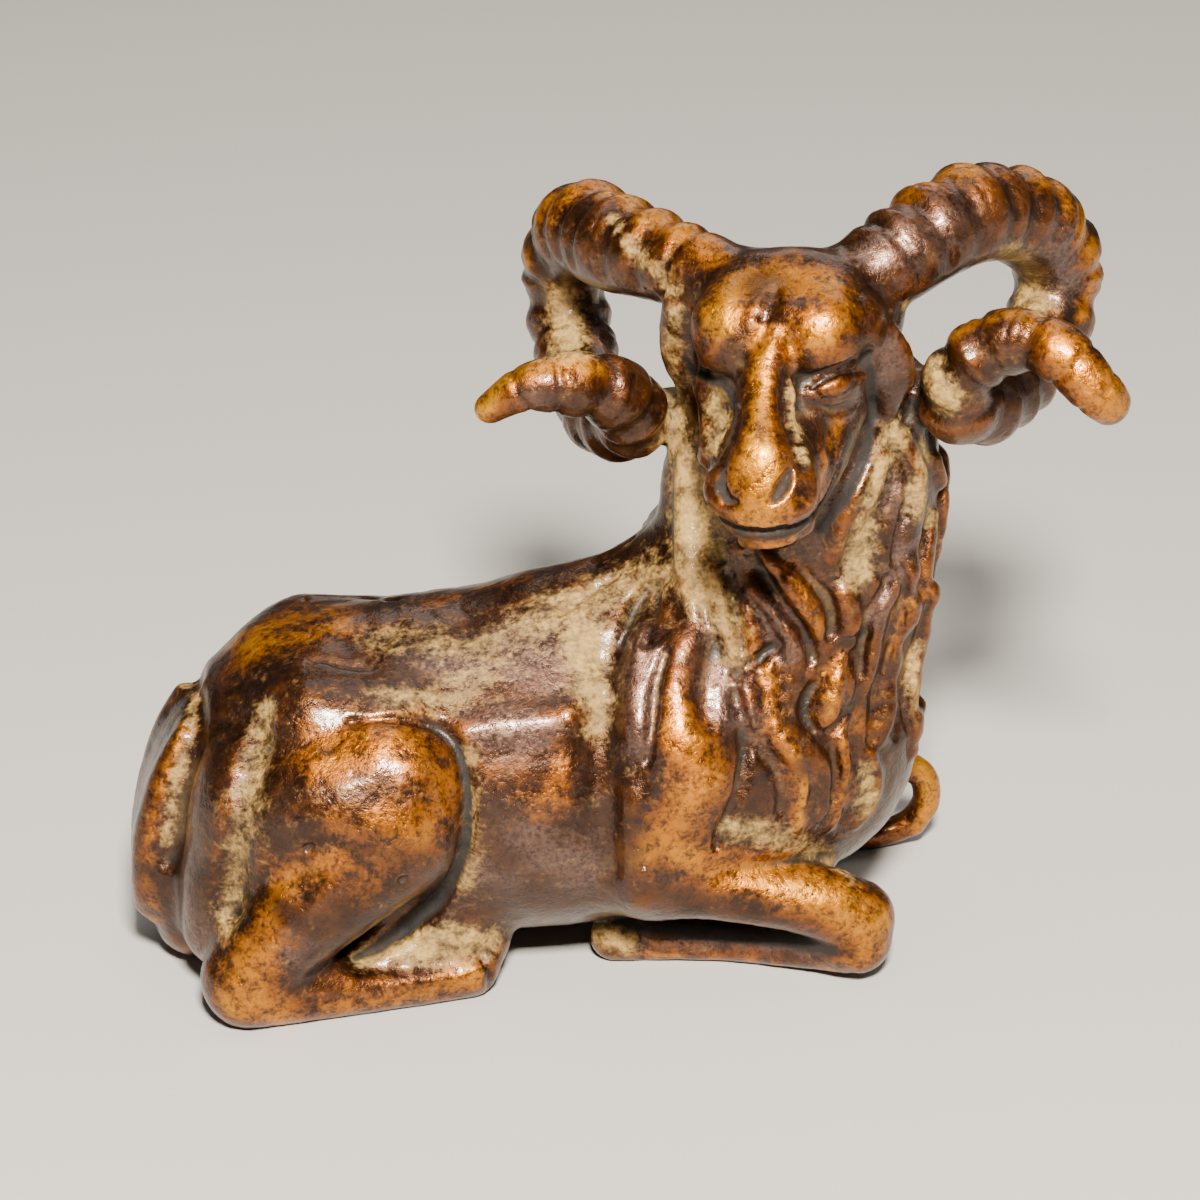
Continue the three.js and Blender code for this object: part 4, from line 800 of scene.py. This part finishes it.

# Black painted as shade into creases, slots, nostrils, the mouth and pits, with the real dark spot on the
# forehead
SHADE_AND_SPOT_STROKES = brushed(NEAR, [
    *MOUTH, *NOSTRILS, *EYE_CREASES, *PITS,
    # Painted shade in the slot between the near forearm and its cannon
    [[2.6, -32.4, 1.1], [8, -32.8, 1.3], [14, -33.4, 1.4], [20, -34.2, 1.2], [23.4, -35.1, 0.8]],
    # The forehead's own dark spot
    ([[15.8, 31.6, 1.3], [17, 31.4, 1.3]], 0.5),
    [[13.6, 7.2, 0.6], [14.6, 7, 1], [17, 6.8, 1.2], [19.6, 7.3, 1], [21.6, 8.8, 0.7], [23, 11.4, 0.5]],
    [[18.8, 12.6, 0.6], [18.4, 11.6, 1], [17.7, 10.4, 0.9]],
    [[12.3, 12.2, 0.5], [12.2, 11.2, 0.8], [12.9, 10, 0.7]],
    [[8.4, 24.4, 0.4], [9.5, 22.9, 0.6], [11.2, 22, 0.7], [12.8, 21.3, 0.7], [13.4, 19.6, 0.4]],
    [[13.4, 21, 0.5], [13.5, 18, 0.4], [12.8, 15.4, 0.3]],
    [[26.4, 24, 1], [27, 22.4, 0.8], [27, 18.6, 0.7], [26.4, 14.6, 0.8], [24.6, 10.4, 0.8], [22, 7, 0.8]],
]) + brushed(BOTH, [
    [[-14.2, -14.6, 0.5], [-13.3, -18, 0.6], [-13.2, -23, 0.7], [-14.1, -26.6, 0.9], [-16, -29.8, 1.1],
     [-19, -32.4, 1.2], [-22, -34.6, 1], [-24.4, -35.8, 0.6]],
])


def carved_mesh(field):
    """The form as a mesh, thinned to the limit on its faces."""
    points, quads = surface(field)
    mesh = bpy.data.meshes.new("goat_figurine_relief")
    mesh.from_pydata(points.tolist(), [], quads.tolist())
    mesh.validate()
    goat = bpy.data.objects.new("goat_figurine_relief", mesh)
    bpy.context.collection.objects.link(goat)
    thinner = goat.modifiers.new("thinner", "DECIMATE")
    thinner.ratio = min(1.0, FACE_LIMIT / (2 * len(quads)))
    bpy.context.view_layer.objects.active = goat
    with bpy.context.temp_override(object=goat, active_object=goat, selected_objects=[goat]):
        bpy.ops.object.modifier_apply(modifier=thinner.name)
    return goat


def vertex_vectors(mesh, name):
    vectors = np.empty(len(mesh.vertices) * 3)
    mesh.vertices.foreach_get(name, vectors)
    return vectors.reshape(-1, 3)


def paint(mesh, name, values):
    layer = mesh.attributes.new(name, "FLOAT", "POINT")
    layer.data.foreach_set("value", np.clip(values, 0, 1).astype(np.float32))


def paint_form(field, mesh, places):
    """Paints how far each point stands out of the form round it or lies back in it."""
    solid = (field.value < 0).astype(np.float32)
    fine = field.at(places, blurred(solid, FINE_FORM))
    middle = field.at(places, blurred(solid, MIDDLE_FORM))
    broad = field.at(places, blurred(solid, BROAD_FORM))
    paint(mesh, "crest", (0.5 - fine) * 3 + (0.5 - middle) * 1.5)
    paint(mesh, "hollow", (fine - 0.5) * 3.2 + (middle - 0.5) * 2.2)
    # How far a point lies back in the broad form, which sets the painted shade
    paint(mesh, "recess", (broad - 0.42) * 2.6)


def paint_zones(field, mesh, places):
    for name, strokes in (("dust", DUST), ("amber", AMBER), ("mauve_and_sheen", MAUVE_AND_SHEEN), ("glaze_and_shade", GLAZE_AND_SHADE)):
        paint(mesh, name, zone(field, places, strokes))
    # Black painted as shade in the creases, with the forehead's dark spot
    paint(mesh, "painted_shade_and_spot", zone(field, places, SHADE_AND_SPOT_STROKES, pieces=9))


def uneven_height(place):
    return sum(height * noise.noise(Vector(place) * waves) for height, waves in UNEVENNESS)


def finish_mesh(field, mesh):
    """Gives the mesh the casting's unevenness, paints where each finish and each painted shade lies, and puts
    it in its place.
    """
    places = vertex_vectors(mesh, "co")
    paint_form(field, mesh, places)
    paint_zones(field, mesh, places)
    lift = np.array([uneven_height(place) for place in places])
    places = (places + vertex_vectors(mesh, "normal") * lift[:, None] - CENTRE) * MM
    places = np.clip(places, np.array(CAD_BOX[0]), np.array(CAD_BOX[1]))
    mesh.vertices.foreach_set("co", places.ravel())
    mesh.polygons.foreach_set("use_smooth", np.ones(len(mesh.polygons), bool))
    mesh.update()


class Signal:
    """A value that varies over the surface. Signals add, subtract and multiply as numbers do."""

    def __init__(self, nodes, socket):
        self.nodes = nodes
        self.socket = socket

    def __add__(self, other):
        return self.nodes.math("ADD", self, other)

    def __sub__(self, other):
        return self.nodes.math("SUBTRACT", self, other)

    def __rsub__(self, other):
        return self.nodes.math("SUBTRACT", other, self)

    def __mul__(self, other):
        return self.nodes.math("MULTIPLY", self, other)

    def ramp(self, low, high):
        """A soft step, from 0 at low to 1 at high."""
        inputs = {"Value": self, "From Min": low, "From Max": high}
        return self.nodes.made("MapRange", "Result", inputs, interpolation_type="SMOOTHSTEP")


class Nodes:
    """Makes the nodes of a material."""

    def __init__(self, material):
        self.tree = material.node_tree
        self.shader = self.tree.nodes["Principled BSDF"]
        self.where = self.made("TexCoord", "Object", {})

    def feed(self, node, inputs):
        """Links signals to a node's inputs, and sets plain values on them."""
        for name, value in inputs.items():
            if isinstance(value, Signal):
                self.tree.links.new(value.socket, node.inputs[name])
            else:
                node.inputs[name].default_value = value

    def made(self, kind, output, inputs, **settings):
        """One output of a new node, as a signal."""
        node = self.tree.nodes.new("ShaderNode" + kind)
        for name, value in settings.items():
            setattr(node, name, value)
        self.feed(node, inputs)
        return Signal(self, node.outputs[output])

    def painted(self, name):
        return self.made("Attribute", "Fac", {}, attribute_name=name)

    def noise(self, scale, detail, roughness, distortion=0.0, where=None):
        inputs = {
            "Vector": where or self.where, "Scale": scale, "Detail": detail, "Roughness": roughness,
            "Distortion": distortion,
        }
        return self.made("TexNoise", "Fac", inputs)

    def math(self, operation, one, other):
        return self.made("Math", 0, {0: one, 1: other}, operation=operation)

    def mix(self, share, one, other):
        return self.made("Mix", "Result", {"Factor": share, "A": one, "B": other}, data_type="RGBA")

    def stretched(self, by):
        return self.made("VectorMath", "Vector", {0: self.where, 1: by}, operation="MULTIPLY")

    def bump(self, height, distance, before=None):
        inputs = {"Height": height, "Distance": distance}
        if before:
            inputs["Normal"] = before
        return self.made("Bump", "Normal", inputs)


# Colours of the finishes, and of the painted sheen and shade
UMBER = (0.018, 0.006, 0.002, 1)
CHESTNUT = (0.062, 0.019, 0.002, 1)
BURNT_ORANGE = (0.235, 0.062, 0.0, 1)
AMBER_BROWN = (0.54, 0.17, 0.0, 1)
GOLDEN = (0.90, 0.42, 0.0, 1)
MAUVE_BROWN = (0.082, 0.038, 0.024, 1)
# A lilac that stands for a painted sheen of reflected light
LILAC_SHEEN = (0.155, 0.094, 0.078, 1)
KHAKI = (0.16, 0.095, 0.025, 1)
PALE_KHAKI = (0.46, 0.30, 0.085, 1)
# Black for painted shade in hollows and creases, also used for the forehead's dark spot
SHADE_AND_SPOT_BLACK = (0.004, 0.002, 0.001, 1)


# How much each layer of the finish, the painted sheen and shade among them, covers of what lies under it, at
# its strongest
WEAR_COVER = 0.7
MAUVE_AND_SHEEN_COVER = 0.75
AMBER_COVER = 0.95
GLAZE_AND_SHADE_COVER = 0.85
SPECK_COVER = 0.45
PIT_COVER = 0.5
DUST_COVER = 0.85
SHADE_COVER = 0.6
SHADE_AND_SPOT_COVER = 0.95

# How far each pattern breaks up the edge of a painted zone
COARSE_RAG = 0.32
FINE_RAG = 0.4
GRAIN_RAG = 0.22

METALLIC = 0.85
COAT = 0.42
COAT_ROUGHNESS = 0.13


class Patina(Nodes):
    """Brown lacquer on cast bronze, rubbed to amber on what stands out, with khaki dust in what lies deep,
    and painted shade darkening the hollows, the creases and the broad recesses.
    """

    def __init__(self, material):
        super().__init__(material)
        self.patches = self.noise(100, 4, 0.55, 0.4).ramp(0.3, 0.7)
        self.blotches = self.noise(290, 5, 0.6, 0.5).ramp(0.3, 0.7)
        self.streaks = self.noise(420, 5, 0.62, 0.6, self.stretched((0.3, 1, 1))).ramp(0.32, 0.68)
        self.mottle = self.noise(850, 4, 0.62, 0.4).ramp(0.3, 0.7)
        self.unpitted = self.noise(1500, 3, 0.7, 0.3).ramp(0.28, 0.5)
        self.grain = self.noise(2400, 3, 0.6).ramp(0.32, 0.68)
        self.hollow = self.painted("hollow")
        self.recess = self.painted("recess")
        # The deep hollows, where black is painted as shade
        self.deep = (self.hollow * (self.recess + 0.4)).ramp(0.3, 0.8)
        self.worn = (self.painted("crest") + (self.blotches - 0.5) * 0.5).ramp(0.0, 0.9)
        self.dust = self.ragged("dust", 0.1, 1.15, self.streaks, self.mottle)
        self.dusty = self.settled_dust()
        # Black painted as shade in the drawn creases, and the forehead's dark spot
        self.shade_and_spot = self.painted("painted_shade_and_spot").ramp(0.2, 0.8) * SHADE_AND_SPOT_COVER

    def ragged(self, name, low, high, coarse, fine):
        """A painted zone that breaks up towards its edge."""
        rough = coarse * COARSE_RAG + fine * FINE_RAG + self.grain * GRAIN_RAG
        middle = (COARSE_RAG + FINE_RAG + GRAIN_RAG) / 2
        return (self.painted(name) + (rough - middle)).ramp(low, high)

    def settled_dust(self):
        """The painted dust, and a thin film of it in every hollow."""
        film = (self.hollow + (self.patches - 0.5) * 0.6).ramp(0.5, 1.1) * 0.4
        return self.math("MAXIMUM", self.dust, film) * (self.grain * 0.25 + 0.75)

    def ground(self):
        """The brown of the thick lacquer."""
        brown = self.mix((self.mottle + self.blotches) * 0.5, UMBER, CHESTNUT)
        return self.mix(self.patches * 0.4, brown, MAUVE_BROWN)

    def lacquer(self):
        """Amber that turns from burnt orange to golden towards the middle of its zones."""
        bright = self.painted("amber").ramp(0.4, 0.95)
        tone = (self.blotches * 0.3 + self.mottle * 0.4 + self.grain * 0.3) * (bright * 0.7 + 0.3)
        rubbed = bright * (self.worn * 0.5 + 0.2)
        amber = self.mix(tone, BURNT_ORANGE, AMBER_BROWN)
        return self.mix(self.patches * rubbed, amber, GOLDEN)

    def polished(self):
        """The lacquer's colour, before anything lies on it, with its painted lilac sheen and painted dark
        shade.
        """
        amber = self.ragged("amber", 0.15, 1.0, self.blotches, self.mottle)
        mauve_and_sheen = self.ragged("mauve_and_sheen", 0.0, 0.95, self.blotches, self.streaks)
        glaze_and_shade = self.ragged("glaze_and_shade", 0.1, 1.0, self.mottle, self.blotches)
        ground = self.ground()
        # Mauve brown with lilac, partly a painted sheen of reflected light
        bloom_and_sheen = self.mix((self.streaks + self.grain) * 0.5, MAUVE_BROWN, LILAC_SHEEN)
        colour = self.mix(self.worn * WEAR_COVER, ground, BURNT_ORANGE)
        colour = self.mix(mauve_and_sheen * MAUVE_AND_SHEEN_COVER, colour, bloom_and_sheen)
        colour = self.mix(amber * AMBER_COVER, colour, self.lacquer())
        # Dark brown painted as shade, together with the thick dark lacquer
        return self.mix(glaze_and_shade * GLAZE_AND_SHADE_COVER, colour, ground)

    def colour(self):
        speck = ((1 - self.mottle) * (1 - self.grain)).ramp(0.2, 0.7)
        powder = self.mix((self.mottle + self.streaks) * 0.5, KHAKI, PALE_KHAKI)
        # Painted shade: umber in the broad recesses and black in the deep hollows
        shaded = self.recess.ramp(0.3, 0.9) * ((1 - self.dusty) * SHADE_COVER)
        hollow_shade = self.deep * (SHADE_AND_SPOT_COVER - self.dust * 0.6)
        colour = self.mix(speck * SPECK_COVER, self.polished(), UMBER)
        colour = self.mix((1 - self.unpitted) * PIT_COVER, colour, UMBER)
        colour = self.mix(self.dusty * DUST_COVER, colour, powder)
        colour = self.mix(shaded, colour, UMBER)
        colour = self.mix(hollow_shade, colour, SHADE_AND_SPOT_BLACK)
        # Last the black painted as shade in the drawn creases
        self.feed(self.shader, {"Base Color": self.mix(self.shade_and_spot, colour, SHADE_AND_SPOT_BLACK)})

    def gloss(self):
        """Metal under a clear coat, both of them lost where dust lies, where black is painted as shade in the
        creases, and on the forehead's dark spot.
        """
        shine = (self.blotches + self.mottle) * 0.1 + 0.3
        dull = self.math("MAXIMUM", self.dusty, self.shade_and_spot) * 0.45
        bare = (1 - self.dusty) * (1 - self.shade_and_spot) * (1 - self.deep * 0.8)
        self.feed(self.shader, {
            "Roughness": shine + dull, "Metallic": bare * METALLIC, "Coat Weight": bare * COAT,
            "Coat Roughness": COAT_ROUGHNESS,
        })

    def relief(self):
        """Heights in metres. The coat lies smoother than the metal under it."""
        uneven = self.bump(self.mottle, 0.00001, self.bump(self.blotches, 0.00005))
        rough = self.bump(self.unpitted, 0.00003, self.bump(self.mottle, 0.00002, uneven))
        self.feed(self.shader, {
            "Coat Normal": self.bump(self.unpitted, 0.000008, uneven),
            "Normal": self.bump(self.grain, 0.00001, rough),
        })


def bronze():
    material = bpy.data.materials.new("patinated bronze")
    material.use_nodes = True
    patina = Patina(material)
    patina.colour()
    patina.gloss()
    patina.relief()
    return material


def build_goat():
    field = Field()
    trunk(field)
    neck(field)
    tail(field)
    hind_leg(field, -1)
    hind_leg(field, 1)
    near_foreleg(field)
    far_foreleg(field)
    skull(field)
    ear(field, -1)
    ear(field, 1)
    horns(field)
    face(field)
    mane(field)
    carving(field)
    underground = -field.axes[2][None, None, :]
    field.value = np.maximum(field.value, underground)
    goat = carved_mesh(field)
    finish_mesh(field, goat.data)
    goat.data.materials.append(bronze())
    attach(goat, "root")
    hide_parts("goat_figurine")


# The studio, in metres
FLOOR_SIZE = 6.0
FLOOR_GREY = (0.43, 0.425, 0.41, 1)
LIGHTS_AIM = (0, 0, 0.04)
KEY_TINT = (1, 0.91, 0.79)
SOFT_TINT = (1, 0.94, 0.86)
AIR_TINT = (1, 0.96, 0.9, 1)
AIR_STRENGTH = 0.05


def floor():
    mesh = bpy.data.meshes.new("floor")
    half = FLOOR_SIZE / 2
    corners = [(-half, -half, 0), (half, -half, 0), (half, half, 0), (-half, half, 0)]
    mesh.from_pydata(corners, [], [(0, 1, 2, 3)])
    plane = bpy.data.objects.new("floor", mesh)
    bpy.context.collection.objects.link(plane)
    material = bpy.data.materials.new("pale floor")
    material.use_nodes = True
    shader = material.node_tree.nodes["Principled BSDF"]
    shader.inputs["Base Color"].default_value = FLOOR_GREY
    shader.inputs["Roughness"].default_value = 0.8
    mesh.materials.append(material)


def area_light(name, place, size, power, tint=SOFT_TINT):
    data = bpy.data.lights.new(name, "AREA")
    data.shape = "RECTANGLE"
    data.size, data.size_y = size
    data.energy = power
    data.color = tint
    light = bpy.data.objects.new(name, data)
    light.location = place
    light.rotation_mode = "QUATERNION"
    light.rotation_quaternion = (Vector(LIGHTS_AIM) - Vector(place)).to_track_quat("-Z", "Y")
    bpy.context.collection.objects.link(light)


def studio():
    area_light("key", (-0.02, -0.47, 0.48), (0.09, 0.09), 21, KEY_TINT)
    area_light("top", (0.0, 0.05, 0.7), (0.4, 0.4), 1.4)
    area_light("fill", (-0.6, -0.3, 0.2), (0.4, 0.4), 0.3)
    area_light("side", (0.6, -0.2, 0.25), (0.4, 0.4), 0.3)
    area_light("back", (0.15, 0.45, 0.45), (0.5, 0.3), 1.0)
    world = bpy.data.worlds.new("studio")
    world.use_nodes = True
    air = world.node_tree.nodes["Background"]
    air.inputs["Color"].default_value = AIR_TINT
    air.inputs["Strength"].default_value = AIR_STRENGTH
    bpy.context.scene.world = world


def camera():
    data = bpy.data.cameras.new("camera")
    data.sensor_width = 36
    data.lens = 138
    data.clip_start = 0.01
    eye = bpy.data.objects.new("camera", data)
    back = Vector(SIGHT_BACK)
    eye.location = (Vector(SIGHT - CENTRE) + back * SIGHT_DISTANCE) * MM
    eye.rotation_mode = "QUATERNION"
    eye.rotation_quaternion = (-back).to_track_quat("-Z", "Y")
    bpy.context.collection.objects.link(eye)
    bpy.context.scene.camera = eye


build_goat()
floor()
studio()
camera()
